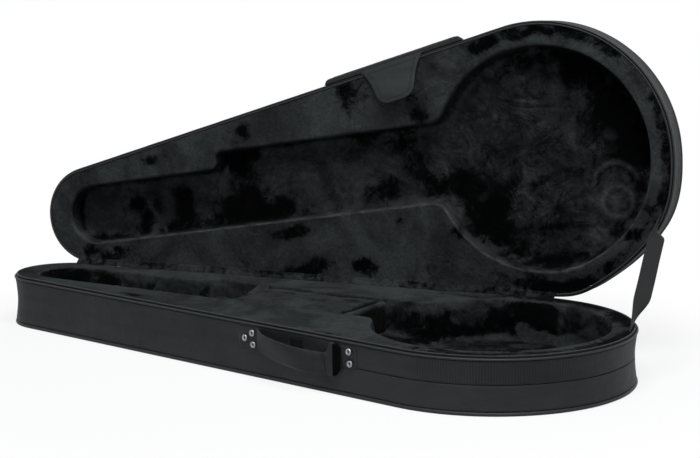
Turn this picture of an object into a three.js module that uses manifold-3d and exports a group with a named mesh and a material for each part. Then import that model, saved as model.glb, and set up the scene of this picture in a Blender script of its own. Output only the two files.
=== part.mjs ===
// A soft-sided banjo case, open, with its lid resting back on a stay strap.
// Two foam halves of the same moulded form face each other: the base lies flat, and the lid is the
// same form turned over. Nylon covers them outside, plush lines them inside, and a zip closes them.
// Millimetres, +Z up. The origin is the middle of the underside, +X points to the drum end, and
// -Y is the side with the handle.

import * as THREE from 'three';
import { mergeVertices } from 'three/addons/utils/BufferGeometryUtils.js';
import Module from 'manifold-3d';

const wasm = await Module();
wasm.setup();

// Plan of the case: a large round end and a small one, joined by two tangents
const totalLength = 1120;
const drumEndRadius = 215.5;
const headEndRadius = 82.4;

// Heights from each half's outer face to the plane where the halves meet
const baseHeight = 86.2;
const lidDepth = 56.4;
const openAngle = THREE.MathUtils.degToRad(93.1);

// Gaps between pieces that touch, the room for the folded flap between the rims, and how far a
// cutting body runs past what it cuts
const seatGap = 0.3;
const flapClearance = 0.7;
const cutOverrun = 20;
const mergeTolerance = 1e-4;

// Nylon shell
const coverThickness = 2.4;
const panelThickness = 1.6;
const coverInset = 1.2;
const edgePipingRadius = 3;
const rimPipingRadius = 1.8;
const rimPipingDrop = 6.4;
const baseDrawIn = 3.6;
const lidDrawIn = 2;
const baseSeamShare = 0.5;

// Zip
const tapeThickness = 1;
const tapeHeight = 5.2;
const coilWidth = 2.6;
const coilHeight = 2.6;
const zipRunPastHinge = 52;

// Plush lining and the recess that it lines
const plushThickness = 2.2;
const rimEdgeGap = 0.5;
const rimRounding = 7;
const floorRounding = 9;
const drumWallThickness = 38.2;
const pocketWallThickness = 32.9;
const pocketFromHead = 12.6;
const channelWideSide = 78;
const channelStepFromDrum = 565.5;
const mouthFillet = 28;
const stepFillet = 14;
const channelCorner = 10;
const drumStepInset = 3;
const baseDrumFloor = 22;
const baseChannelFloor = 32;
const lidDrumFloor = 14;
const lidChannelFloor = 22;

// Neck cradle and accessory compartment in the base's channel, placed from the drum's centre
const cradleFromDrum = 472.5;
const cradleLength = 30;
const cradleRise = 3;
const cradleDip = 11;
const padGap = 1;
const compartmentFromDrum = 226.5;
const dividerThickness = 17;
const compartmentLidThickness = 8;
const compartmentLidDrop = 4;
const compartmentLidCorner = 6;
const ledgeWidth = 6;
const pullTabWidth = 12;
const pullTabLength = 24;
const pullTabThickness = 0.8;
const pullTabLift = 3;
const pullTabInset = 12;

// Handle on the near wall: its place is a share of that wall's length, and its heights are
// measured down from the plane where the halves meet
const handleShare = 0.76;
const handleSpan = 151;
const shoulderLength = 25;
const handleBow = 26;
const handleThickness = 6;
const handleTopDrop = 10.2;
const gripTopDrop = 22.2;
const gripBottomDrop = 58.2;
const handleTabLength = 43;
const handleTabTopDrop = 12.2;
const handleTabBottomDrop = 44.2;
const handleTabThickness = 2;
const handleTabCorner = 6;

// Rivets past the ends of the handle: two in a column at each end, and one more on the left
const rivetHeadRadius = 5.3;
const rivetHeadHeight = 2.2;
const rivetDimpleRadius = 2.3;
const rivetDimpleDepth = 1.5;
const rivetShankRadius = 1.9;
const rivetClearance = 0.4;
const rivetPairDrops = [19.2, 37.2];
const rivetSingleDrop = 28.7;
const leftPairPastEnd = 10.5;
const leftSinglePastEnd = 27;
const rightPairPastEnd = 31;
const clinchRadius = 3.4;
const clinchThickness = 1.2;
const backingThickness = 1.5;
const backingMargin = 9;

// Security flap on the lid, which folds over the zip behind the handle
const flapOffset = 1.5;
const flapPatchLength = 240;
const flapPatchHeight = 34;
const flapPatchThickness = 1.6;
const flapPatchCorner = 15;
const tongueRootWidth = 114;
const tongueTipWidth = 68;
const tongueLength = 64;
const tongueCorner = 21;
const tongueFlare = 2.4;
const tongueThickness = 1;
const hookLength = 26;
const hookWidth = 40;
const hookThickness = 0.8;
const hookTipMargin = 8;
const loopWidth = 24;
const loopTopDrop = 14.2;
const loopLength = 36;
const loopThickness = 1;

// Fabric hinge on the far wall
const hingeStripReach = 24;
const hingeStripThickness = 1.2;

// Zip sliders, parked at the two ends of the hinge
const sliderLength = 13;
const sliderWall = 1.6;
const sliderRise = 0.7;
const sliderDrop = 4.2;
const bailCheek = 1.2;
const bailGap = 4;
const bailReach = 3.4;
const bailHeight = 4.4;
const bailPinRadius = 0.8;
const pullEyeRadius = 1.9;
const pullClearance = 0.25;
const pullThickness = 1.5;
const pullWidth = 9;
const pullLength = 30;

// Stay strap at the drum end. Each end is sewn along its rim between two angles round that end, and
// the flat middle of the strap points at a place of its own on each rim.
const strapWidth = 26;
const strapThickness = 1.6;
const strapInset = 9;
const strapBaseFrom = THREE.MathUtils.degToRad(13.5);
const strapBaseTo = THREE.MathUtils.degToRad(22.5);
const strapBaseAim = THREE.MathUtils.degToRad(17.6);
const strapBaseAimInset = 4;
const strapLidFrom = THREE.MathUtils.degToRad(22);
const strapLidTo = THREE.MathUtils.degToRad(30);
const strapLidAim = THREE.MathUtils.degToRad(34.6);
const strapLidAimInset = 0;
const strapBaseBend = 0.14;
const strapLidBend = 0.16;

// Facets
const drumArcSteps = 22;
const headArcSteps = 10;
const recessDrumSteps = 22;
const recessPocketSteps = 8;
const filletSteps = 3;
const roundingSteps = 3;
const pipingSides = 8;
const wallSteps = 3;
const roundSides = 12;
const saddleSteps = 8;
const gripSteps = 8;
const shoulderSteps = 3;
const tongueSteps = 6;
const strapShares = [0, 0.03, 0.06, 0.09, 0.14, 0.3, 0.5, 0.7, 0.84, 0.88, 0.92, 0.96, 1];

// Colours and finishes
const nylon = { color: 0x26292b, roughness: 0.72, metalness: 0 };
const piping = { color: 0x1d1f21, roughness: 0.5, metalness: 0 };
const plush = { color: 0x15181a, roughness: 1, metalness: 0 };
const foam = { color: 0x2b2b2b, roughness: 0.9, metalness: 0 };
const zip = { color: 0x1a1b1c, roughness: 0.55, metalness: 0 };
const webbing = { color: 0x202426, roughness: 0.8, metalness: 0 };
const hookAndLoop = { color: 0x111213, roughness: 1, metalness: 0 };
const nickel = { color: 0xb9bcc0, roughness: 0.25, metalness: 1 };
const darkMetal = { color: 0x3a3b3d, roughness: 0.35, metalness: 1 };

// Values that follow from the sizes above
const quarterTurn = Math.PI / 2;
const drumCentreX = totalLength / 2 - drumEndRadius;
const headCentreX = headEndRadius - totalLength / 2;
const taperAngle = Math.asin((drumEndRadius - headEndRadius) / (drumCentreX - headCentreX));
const tangentAngle = quarterTurn + taperAngle;
const wallLength = (drumCentreX - headCentreX) * Math.cos(taperAngle);
const hingePoint = new THREE.Vector3(
  headCentreX - headEndRadius * Math.sin(taperAngle),
  headEndRadius * Math.cos(taperAngle),
  baseHeight,
);
const hingeAxis = new THREE.Vector3(Math.cos(taperAngle), Math.sin(taperAngle), 0);
const handleCentre = handleShare * wallLength;
const flapCentre = handleCentre + flapOffset;
const coilSetback = tongueThickness / 2 + seatGap;
const rimSetback = tongueThickness / 2 + hookThickness + flapClearance;
const tongueAxisOut = flapPatchThickness + 2 * seatGap;
const zipInset = coverInset + coverThickness + seatGap;
const coilInset = zipInset + tapeThickness / 2;
const rimEdgeInset = coilInset + coilWidth / 2 + rimEdgeGap;
const rimTop = baseHeight - rimSetback;
const drumRecessRadius = drumEndRadius - drumWallThickness;
const pocketRadius = headEndRadius - pocketWallThickness;
const pocketCentreX = headCentreX + pocketFromHead;
const channelStepX = drumCentreX - channelStepFromDrum;
const cradleX = drumCentreX - cradleFromDrum;
const compartmentEndX = drumCentreX - compartmentFromDrum;
const handleTop = baseHeight - handleTopDrop;
const gripTop = baseHeight - gripTopDrop;
const gripBottom = baseHeight - gripBottomDrop;
const rivetPairHeights = rivetPairDrops.map((drop) => baseHeight - drop);
const rivetSingleHeight = baseHeight - rivetSingleDrop;
const leftPairOffset = -handleSpan / 2 - leftPairPastEnd;
const leftSingleOffset = -handleSpan / 2 - leftSinglePastEnd;
const rightPairOffset = handleSpan / 2 + rightPairPastEnd;

// Solids and meshes

function signedVolume(positions, index) {
  const a = new THREE.Vector3();
  const b = new THREE.Vector3();
  const c = new THREE.Vector3();
  let sum = 0;
  for (let i = 0; i < index.length; i += 3) {
    a.fromArray(positions, 3 * index[i]);
    b.fromArray(positions, 3 * index[i + 1]);
    c.fromArray(positions, 3 * index[i + 2]);
    sum += a.dot(b.cross(c));
  }
  return sum;
}

// A closed geometry from points and triangles, with its faces turned outwards.
function closedGeometry(positions, index) {
  if (signedVolume(positions, index) < 0) index.reverse();
  const geometry = new THREE.BufferGeometry();
  geometry.setAttribute('position', new THREE.Float32BufferAttribute(positions, 3));
  geometry.setIndex(index);
  return geometry;
}

function toSolid(geometry) {
  const bare = geometry.clone();
  bare.deleteAttribute('normal');
  bare.deleteAttribute('uv');
  const merged = mergeVertices(bare, mergeTolerance);
  return new wasm.Manifold(new wasm.Mesh({
    numProp: 3,
    vertProperties: new Float32Array(merged.attributes.position.array),
    triVerts: new Uint32Array(merged.index.array),
  }));
}

function toGeometry(solid) {
  const mesh = solid.getMesh();
  const geometry = new THREE.BufferGeometry();
  geometry.setAttribute('position', new THREE.Float32BufferAttribute(mesh.vertProperties, 3));
  geometry.setIndex(Array.from(mesh.triVerts));
  return geometry;
}

function cut(body, ...tools) {
  return tools.reduce((rest, tool) => rest.subtract(tool), body);
}

function join(first, ...others) {
  return others.reduce((sum, other) => sum.add(other), first);
}

function piece(name, geometry, look, parent) {
  const mesh = new THREE.Mesh(geometry, new THREE.MeshStandardMaterial(look));
  mesh.name = name;
  parent.add(mesh);
  return mesh;
}

// A box between two corners.
function block(low, high) {
  const geometry = new THREE.BoxGeometry(high[0] - low[0], high[1] - low[1], high[2] - low[2]);
  geometry.translate((low[0] + high[0]) / 2, (low[1] + high[1]) / 2, (low[2] + high[2]) / 2);
  return geometry;
}

// A round bar along Y between two depths, centred on x and z.
function barAlongY(x, z, radius, from, to, sides = roundSides) {
  const geometry = new THREE.CylinderGeometry(radius, radius, to - from, sides);
  geometry.translate(x, (from + to) / 2, z);
  return geometry;
}

// A round bar along X between two places, centred on y and z.
function barAlongX(from, to, y, z, radius, sides = roundSides) {
  const geometry = new THREE.CylinderGeometry(radius, radius, to - from, sides);
  geometry.rotateZ(quarterTurn);
  geometry.translate((from + to) / 2, y, z);
  return geometry;
}

// The same outline, running anticlockwise.
function anticlockwise(points) {
  const flat = points.map(([x, y]) => new THREE.Vector2(x, y));
  return THREE.ShapeUtils.isClockWise(flat) ? points.slice().reverse() : points;
}

function triangulate(points) {
  return THREE.ShapeUtils.triangulateShape(points.map(([x, y]) => new THREE.Vector2(x, y)), []);
}

// A body whose level rings all have the same number of points.
function loft(levels) {
  const rings = levels.map(({ points, z }) => ({ points: anticlockwise(points), z }));
  const count = rings[0].points.length;
  const positions = [];
  const index = [];
  for (const ring of rings) {
    for (const [x, y] of ring.points) positions.push(x, y, ring.z);
  }
  for (let level = 0; level + 1 < rings.length; level++) {
    for (let i = 0; i < count; i++) {
      const a = level * count + i;
      const b = level * count + (i + 1) % count;
      index.push(a, b, b + count, a, b + count, a + count);
    }
  }
  const last = (rings.length - 1) * count;
  for (const [a, b, c] of triangulate(rings[0].points)) index.push(a, c, b);
  for (const [a, b, c] of triangulate(rings.at(-1).points)) index.push(last + a, last + b, last + c);
  return closedGeometry(positions, index);
}

// A section of [out, z] points carried along stations, each with its place and its outward normal.
function sweep(stations, outline, closed) {
  const section = anticlockwise(outline);
  const count = section.length;
  const positions = [];
  const index = [];
  for (const { x, y, nx, ny } of stations) {
    for (const [out, z] of section) positions.push(x + nx * out, y + ny * out, z);
  }
  const spans = closed ? stations.length : stations.length - 1;
  for (let s = 0; s < spans; s++) {
    const here = s * count;
    const next = ((s + 1) % stations.length) * count;
    for (let i = 0; i < count; i++) {
      const j = (i + 1) % count;
      index.push(here + i, here + j, next + j, here + i, next + j, next + i);
    }
  }
  if (!closed) {
    const last = (stations.length - 1) * count;
    for (const [a, b, c] of triangulate(section)) {
      index.push(a, c, b, last + a, last + b, last + c);
    }
  }
  return closedGeometry(positions, index);
}

// Plan of the case

function arcStations(centreX, radius, from, to, steps) {
  return Array.from({ length: steps + 1 }, (_, i) => {
    const angle = from + (to - from) * i / steps;
    const nx = Math.cos(angle);
    const ny = Math.sin(angle);
    return { x: centreX + radius * nx, y: radius * ny, nx, ny };
  });
}

const drumArc = arcStations(drumCentreX, drumEndRadius, tangentAngle, -tangentAngle, drumArcSteps);
const headArc = arcStations(
  headCentreX, headEndRadius, -tangentAngle, tangentAngle - 2 * Math.PI, headArcSteps);
const wholePlan = [...drumArc, ...headArc];

function offsetRing(out) {
  return wholePlan.map(({ x, y, nx, ny }) => [x + nx * out, y + ny * out]);
}

// A station on the far straight wall, measured along it from its head end.
function farWallStation(along) {
  const nx = -Math.sin(taperAngle);
  const ny = Math.cos(taperAngle);
  return {
    x: hingePoint.x + hingeAxis.x * along,
    y: hingePoint.y + hingeAxis.y * along,
    nx,
    ny,
  };
}

// The zip runs round everything but the hinge. The base and the lid are turned over against each
// other, so the hinge is on the +Y side of the base and on the -Y side of the lid's own frame.
function zipStations(hingeSide) {
  const route = [
    farWallStation(wallLength - zipRunPastHinge),
    ...wholePlan,
    farWallStation(zipRunPastHinge),
  ];
  return route.map(({ x, y, nx, ny }) => ({ x, y: y * hingeSide, nx, ny: ny * hingeSide }));
}

// Recess of a half, with every side moved out by grow

function arcPoints(x, y, radius, from, to, steps) {
  return Array.from({ length: steps + 1 }, (_, i) => {
    const angle = from + (to - from) * i / steps;
    return [x + radius * Math.cos(angle), y + radius * Math.sin(angle)];
  });
}

function recessOutline(grow) {
  const drum = drumRecessRadius + grow;
  const pocket = pocketRadius + grow;
  const wide = channelWideSide + grow;
  const fillet = mouthFillet - grow;
  const step = stepFillet - grow;
  const corner = channelCorner + grow;
  const endX = channelStepX - grow;
  const narrowX = drumCentreX - Math.sqrt((drum + fillet) ** 2 - (pocket + fillet) ** 2);
  const wideX = drumCentreX - Math.sqrt((drum + fillet) ** 2 - (wide + fillet) ** 2);
  const narrowAngle = Math.atan2(pocket + fillet, drumCentreX - narrowX);
  const wideAngle = Math.atan2(wide + fillet, drumCentreX - wideX);
  return [
    ...arcPoints(narrowX, -pocket - fillet, fillet, quarterTurn, narrowAngle, filletSteps),
    ...arcPoints(drumCentreX, 0, drum, narrowAngle - Math.PI, Math.PI - wideAngle, recessDrumSteps)
      .slice(1, -1),
    ...arcPoints(wideX, wide + fillet, fillet, -wideAngle, -quarterTurn, filletSteps),
    ...arcPoints(endX + corner, wide - corner, corner, quarterTurn, Math.PI, filletSteps),
    ...arcPoints(endX - step, pocket + step, step, 0, -quarterTurn, filletSteps),
    ...arcPoints(pocketCentreX, 0, pocket, quarterTurn, 3 * quarterTurn, recessPocketSteps),
  ];
}

// The space of the recess, grown by grow: its rim edge and floor edge are rounded, and the channel
// and the pocket are shallower than the drum.
function recessForm(grow, rim, drumFloor, channelFloor) {
  const rings = [];
  const lowest = drumFloor - grow;
  const low = floorRounding + grow;
  for (let i = 0; i <= roundingSteps; i++) {
    const turn = quarterTurn * i / roundingSteps;
    rings.push({
      points: recessOutline(grow - low * (1 - Math.sin(turn))),
      z: lowest + low * (1 - Math.cos(turn)),
    });
  }
  const high = rimRounding - grow;
  for (let i = 0; i <= roundingSteps; i++) {
    const turn = quarterTurn * i / roundingSteps;
    rings.push({
      points: recessOutline(rimRounding - high * Math.cos(turn)),
      z: rim - rimRounding + high * Math.sin(turn),
    });
  }
  rings.push({ points: rings.at(-1).points, z: rim + cutOverrun });
  const raised = toSolid(block(
    [headCentreX - headEndRadius, grow - pocketRadius - mouthFillet / 2, lowest - cutOverrun],
    [drumCentreX, channelWideSide + mouthFillet / 2 - grow, channelFloor - grow],
  ));
  const drumHeight = rim + 2 * cutOverrun;
  const drumBar = new THREE.CylinderGeometry(
    drumRecessRadius - drumStepInset + grow, drumRecessRadius - drumStepInset + grow,
    2 * drumHeight, 2 * recessDrumSteps);
  drumBar.rotateX(quarterTurn);
  drumBar.translate(drumCentreX, 0, 0);
  return toSolid(loft(rings)).subtract(raised.subtract(toSolid(drumBar)));
}

// Wall of a half: it is drawn in between its two lines of piping

function wallOut(z, depth, drawIn) {
  const foot = 2 * edgePipingRadius;
  const head = depth - rimPipingDrop - rimPipingRadius;
  const share = THREE.MathUtils.clamp((z - foot) / (head - foot), 0, 1);
  return -coverInset - drawIn * Math.sin(Math.PI * share);
}

function baseWallOut(z) {
  return wallOut(z, baseHeight, baseDrawIn);
}

function wallHeights(from, to) {
  return Array.from({ length: wallSteps + 1 }, (_, i) => from + (to - from) * i / wallSteps);
}

// A closed section that follows the wall between two heights, lying at a gap outside it.
function wallSection(from, to, gap, thickness, outAt) {
  const heights = wallHeights(from, to);
  return [
    ...heights.map((z) => [outAt(z) + gap, z]),
    ...heights.reverse().map((z) => [outAt(z) + gap + thickness, z]),
  ];
}

// A bead of piping round a half, with a flat side down.
function pipingBead(radius, z) {
  const halfSide = Math.PI / pipingSides;
  return arcPoints(-radius, z, radius / Math.cos(halfSide), halfSide, halfSide + 2 * Math.PI,
    pipingSides).slice(1);
}

// Everything that the base and the lid have alike, in the half's own frame: outer face at z = 0,
// rim upwards.
function makeHalf(name, sizes, parent, foamCuts = [], coverCuts = []) {
  const { depth, drawIn, seams, drumFloor, channelFloor, hingeSide } = sizes;
  const rim = depth - rimSetback;
  const outAt = (z) => wallOut(z, depth, drawIn);
  const beadTop = 2 * edgePipingRadius;
  const rimBead = depth - rimPipingDrop;
  const coverTop = rimBead - rimPipingRadius - seatGap;
  const tapeOuter = -zipInset;
  const tapeTop = depth - coilSetback - coilHeight - seatGap;
  const foamOuter = (z) => outAt(z) - coverThickness - seatGap;
  const foamTop = rim - plushThickness - seatGap;

  const panelRing = offsetRing(-beadTop - seatGap);
  piece(`${name}_outer_panel`, loft([
    { points: panelRing, z: 0 },
    { points: panelRing, z: panelThickness },
  ]), nylon, parent);
  piece(`${name}_edge_piping`,
    sweep(wholePlan, pipingBead(edgePipingRadius, edgePipingRadius), true), piping, parent);
  piece(`${name}_rim_piping`,
    sweep(wholePlan, pipingBead(rimPipingRadius, rimBead), true), piping, parent);

  const edges = [beadTop + seatGap, ...seams.map(({ height }) => height), coverTop];
  const names = [...seams.map(({ below }) => below), seams.length ? 'upper_wall_cover' : 'wall_cover'];
  const bands = names.map((band, i) => ({
    band,
    low: edges[i] + (i > 0 ? seatGap / 2 : 0),
    high: edges[i + 1] - (i + 1 < names.length ? seatGap / 2 : 0),
  }));
  for (const { band, low, high } of bands) {
    const ring = toSolid(sweep(wholePlan,
      wallSection(low, high, -coverThickness, coverThickness, outAt), true));
    piece(`${name}_${band}`, toGeometry(cut(ring, ...coverCuts)), nylon, parent);
  }

  const tapeSection = [
    [tapeOuter - tapeThickness, tapeTop - tapeHeight],
    [tapeOuter, tapeTop - tapeHeight],
    [tapeOuter, tapeTop],
    [tapeOuter - tapeThickness, tapeTop],
  ];
  const zipRoute = zipStations(hingeSide);
  piece(`${name}_zip_tape`, sweep(zipRoute, tapeSection, false), zip, parent);
  const coilMiddle = -coilInset;
  const coilSection = [
    [coilMiddle - coilWidth / 2, tapeTop + seatGap],
    [coilMiddle + coilWidth / 2, tapeTop + seatGap],
    [coilMiddle + coilWidth / 2, depth - coilSetback],
    [coilMiddle - coilWidth / 2, depth - coilSetback],
  ];
  piece(`${name}_zip_coil`, sweep(zipRoute, coilSection, false), zip, parent);

  const foamLevels = [
    [-beadTop - seatGap, panelThickness + seatGap],
    [-beadTop - seatGap, beadTop + seatGap],
    ...bands.flatMap(({ low, high }) => wallHeights(low, high)).slice(0, -1)
      .map((z) => [foamOuter(z), z]),
    [tapeOuter - tapeThickness - seatGap, tapeTop - tapeHeight - seatGap],
    [tapeOuter - tapeThickness - seatGap, foamTop],
  ];
  const foamBody = toSolid(loft(foamLevels.map(([out, z]) => ({ points: offsetRing(out), z }))));
  piece(`${name}_foam_shell`, toGeometry(cut(foamBody,
    recessForm(plushThickness + seatGap, rim, drumFloor, channelFloor), ...foamCuts)), foam, parent);

  const flangeRing = offsetRing(-rimEdgeInset);
  const flange = toSolid(loft([
    { points: flangeRing, z: rim - plushThickness },
    { points: flangeRing, z: rim },
  ]));
  const clipRing = offsetRing(cutOverrun);
  const belowRim = toSolid(loft([{ points: clipRing, z: 0 }, { points: clipRing, z: rim - seatGap }]));
  const cup = recessForm(plushThickness, rim, drumFloor, channelFloor).intersect(belowRim);
  piece(`${name}_plush_lining`, toGeometry(cut(join(flange, cup),
    recessForm(0, rim, drumFloor, channelFloor))), plush, parent);
}

// Pieces on the near wall of the base, in that wall's frame: x along the wall, -y outwards

function nearWallFrame() {
  const frame = new THREE.Group();
  frame.position.set(hingePoint.x, -hingePoint.y, 0);
  frame.rotation.z = -taperAngle;
  return frame;
}

function wallPatch(from, to, bottom, top, gap, thickness, outAt, corner) {
  const stations = [
    { x: from, y: 0, nx: 0, ny: -1 },
    { x: to, y: 0, nx: 0, ny: -1 },
  ];
  const sheet = toSolid(sweep(stations, wallSection(bottom, top, gap, thickness, outAt), false));
  const mask = new THREE.ExtrudeGeometry(roundedRectangle(from, bottom, to, top, corner), {
    depth: 2 * cutOverrun,
    bevelEnabled: false,
    curveSegments: filletSteps,
  });
  mask.rotateX(quarterTurn);
  mask.translate(0, cutOverrun, 0);
  return sheet.intersect(toSolid(mask));
}

function roundedRectangle(x0, y0, x1, y1, radius) {
  const shape = new THREE.Shape();
  shape.moveTo(x0 + radius, y0);
  shape.lineTo(x1 - radius, y0);
  shape.absarc(x1 - radius, y0 + radius, radius, -quarterTurn, 0, false);
  shape.lineTo(x1, y1 - radius);
  shape.absarc(x1 - radius, y1 - radius, radius, 0, quarterTurn, false);
  shape.lineTo(x0 + radius, y1);
  shape.absarc(x0 + radius, y1 - radius, radius, quarterTurn, Math.PI, false);
  shape.lineTo(x0, y0 + radius);
  shape.absarc(x0 + radius, y0 + radius, radius, Math.PI, 3 * quarterTurn, false);
  return shape;
}

const rivetPlaces = [
  ...rivetPairHeights.map((z) => ({ x: handleCentre + leftPairOffset, z })),
  { x: handleCentre + leftSingleOffset, z: rivetSingleHeight },
  ...rivetPairHeights.map((z) => ({ x: handleCentre + rightPairOffset, z })),
];
const backingOuter = coverInset + baseDrawIn + coverThickness + seatGap;
const backingInner = backingOuter + backingThickness;
const clinchInner = backingInner + seatGap + clinchThickness;
const backingPlates = [
  { side: 'left', offsets: [leftSingleOffset, leftPairOffset] },
  { side: 'right', offsets: [rightPairOffset, rightPairOffset] },
].map(({ side, offsets }) => ({
  side,
  from: handleCentre + offsets[0] - backingMargin,
  to: handleCentre + offsets[1] + backingMargin,
}));

// Tubular rivet: a domed head with a dimple, its shank, and the clinched end behind the plate.
function rivetGeometry(z) {
  const wall = Math.max(baseWallOut(z - rivetHeadRadius), baseWallOut(z + rivetHeadRadius));
  const face = wall + 2 * seatGap + handleTabThickness;
  const inner = -backingInner - seatGap;
  const profile = [
    [0, face + rivetHeadHeight - rivetDimpleDepth],
    [rivetDimpleRadius, face + rivetHeadHeight - rivetDimpleDepth],
    [rivetDimpleRadius, face + rivetHeadHeight],
    [(rivetDimpleRadius + rivetHeadRadius) / 2, face + rivetHeadHeight],
    [rivetHeadRadius, face + rivetHeadHeight / 2],
    [rivetHeadRadius, face],
    [rivetShankRadius, face],
    [rivetShankRadius, inner],
    [clinchRadius, inner],
    [clinchRadius, inner - clinchThickness],
    [0, inner - clinchThickness],
  ].map(([r, out]) => new THREE.Vector2(r, out));
  const geometry = new THREE.LatheGeometry(profile.reverse(), roundSides);
  geometry.rotateX(Math.PI);
  return geometry;
}

function shankHoles(frame) {
  return rivetPlaces.map(({ x, z }) => placed(
    barAlongY(x, z, rivetShankRadius + rivetClearance, -cutOverrun, cutOverrun), frame));
}

// A geometry of a wall's frame as a solid in the half's frame.
function placed(geometry, frame) {
  frame.updateMatrix();
  return toSolid(geometry.clone().applyMatrix4(frame.matrix));
}

function backingPockets(frame) {
  return backingPlates.map(({ from, to }) => placed(block(
    [from - seatGap, 0, rivetPairHeights[1] - backingMargin - seatGap],
    [to + seatGap, clinchInner + seatGap, rivetPairHeights[0] + backingMargin + seatGap],
  ), frame));
}

function makeHandleFittings(frame) {
  const holes = rivetPlaces.map(({ x, z }) => toSolid(
    barAlongY(x, z, rivetShankRadius + rivetClearance, -cutOverrun, cutOverrun)));
  const ends = [
    { side: 'left', from: -handleSpan / 2 - handleTabLength, to: -handleSpan / 2 },
    { side: 'right', from: handleSpan / 2, to: handleSpan / 2 + handleTabLength },
  ];
  for (const { side, from, to } of ends) {
    const tab = wallPatch(handleCentre + from, handleCentre + to, baseHeight - handleTabBottomDrop,
      baseHeight - handleTabTopDrop, seatGap, handleTabThickness, baseWallOut, handleTabCorner);
    piece(`handle_tab_${side}`, toGeometry(cut(tab, ...holes)), webbing, frame);
  }
  for (const { side, from, to } of backingPlates) {
    const plate = toSolid(block(
      [from, backingOuter, rivetPairHeights[1] - backingMargin],
      [to, backingInner, rivetPairHeights[0] + backingMargin],
    ));
    piece(`handle_backing_plate_${side}`, toGeometry(cut(plate, ...holes)), darkMetal, frame);
  }
  rivetPlaces.forEach(({ x, z }, i) => {
    piece(`handle_rivet_${i + 1}`, rivetGeometry(z), nickel, frame).position.set(x, 0, z);
  });
}

// How far the handle's middle line stands out from the wall, and its upper edge, at a distance
// from its centre.
function handleBowAt(offset) {
  const share = offset / (handleSpan / 2);
  const foot = seatGap + handleTabThickness / 2 - coverInset;
  return foot + handleBow * (1 - share ** 2);
}

function handleTopAt(offset) {
  const share = Math.abs(offset) / (handleSpan / 2);
  return gripTop + (handleTop - gripTop) * share ** 3;
}

function bandThickness(offset) {
  const share = Math.abs(offset) / (handleSpan / 2);
  return handleTabThickness + (handleThickness - handleTabThickness) * (1 - share ** 4);
}

// The band of the handle between two distances from its centre.
function handleBand(from, to, steps) {
  const rings = Array.from({ length: steps + 1 }, (_, i) => {
    const offset = from + (to - from) * i / steps;
    const half = bandThickness(offset) / 2;
    const out = handleBowAt(offset);
    const top = handleTopAt(offset);
    const bevel = half / 2;
    return {
      points: [
        [-out + half, gripBottom + bevel], [-out + half, top - bevel], [-out + half - bevel, top],
        [-out - half + bevel, top], [-out - half, top - bevel], [-out - half, gripBottom + bevel],
        [-out - half + bevel, gripBottom], [-out + half - bevel, gripBottom],
      ],
      z: handleCentre + offset,
    };
  });
  const geometry = loft(rings);
  geometry.applyMatrix4(new THREE.Matrix4().set(0, 0, 1, 0, 1, 0, 0, 0, 0, 1, 0, 0, 0, 0, 0, 1));
  return geometry;
}

function makeHandle(frame) {
  const end = handleSpan / 2;
  const half = end - shoulderLength;
  piece('handle_grip', handleBand(-half + seatGap, half - seatGap, gripSteps), nylon, frame);
  piece('handle_shoulder_left', handleBand(-end + seatGap, -half, shoulderSteps), nylon, frame);
  piece('handle_shoulder_right', handleBand(half, end - seatGap, shoulderSteps), nylon, frame);
}

// Pieces inside the base's channel

// A pad across the channel between two places along it, with its top at a height that depends on
// the share of its width.
function channelPad(from, to, topAt) {
  const low = -pocketRadius + padGap;
  const high = channelWideSide - padGap;
  const floor = baseChannelFloor + seatGap;
  const shape = new THREE.Shape();
  shape.moveTo(low, floor);
  shape.lineTo(high, floor);
  for (let i = 0; i <= saddleSteps; i++) {
    const share = 1 - i / saddleSteps;
    shape.lineTo(low + (high - low) * share, topAt(share));
  }
  const geometry = new THREE.ExtrudeGeometry(shape, { depth: to - from, bevelEnabled: false });
  geometry.applyMatrix4(new THREE.Matrix4().set(0, 0, 1, from, 1, 0, 0, 0, 0, 1, 0, 0, 0, 0, 0, 1));
  return toSolid(geometry);
}

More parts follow.
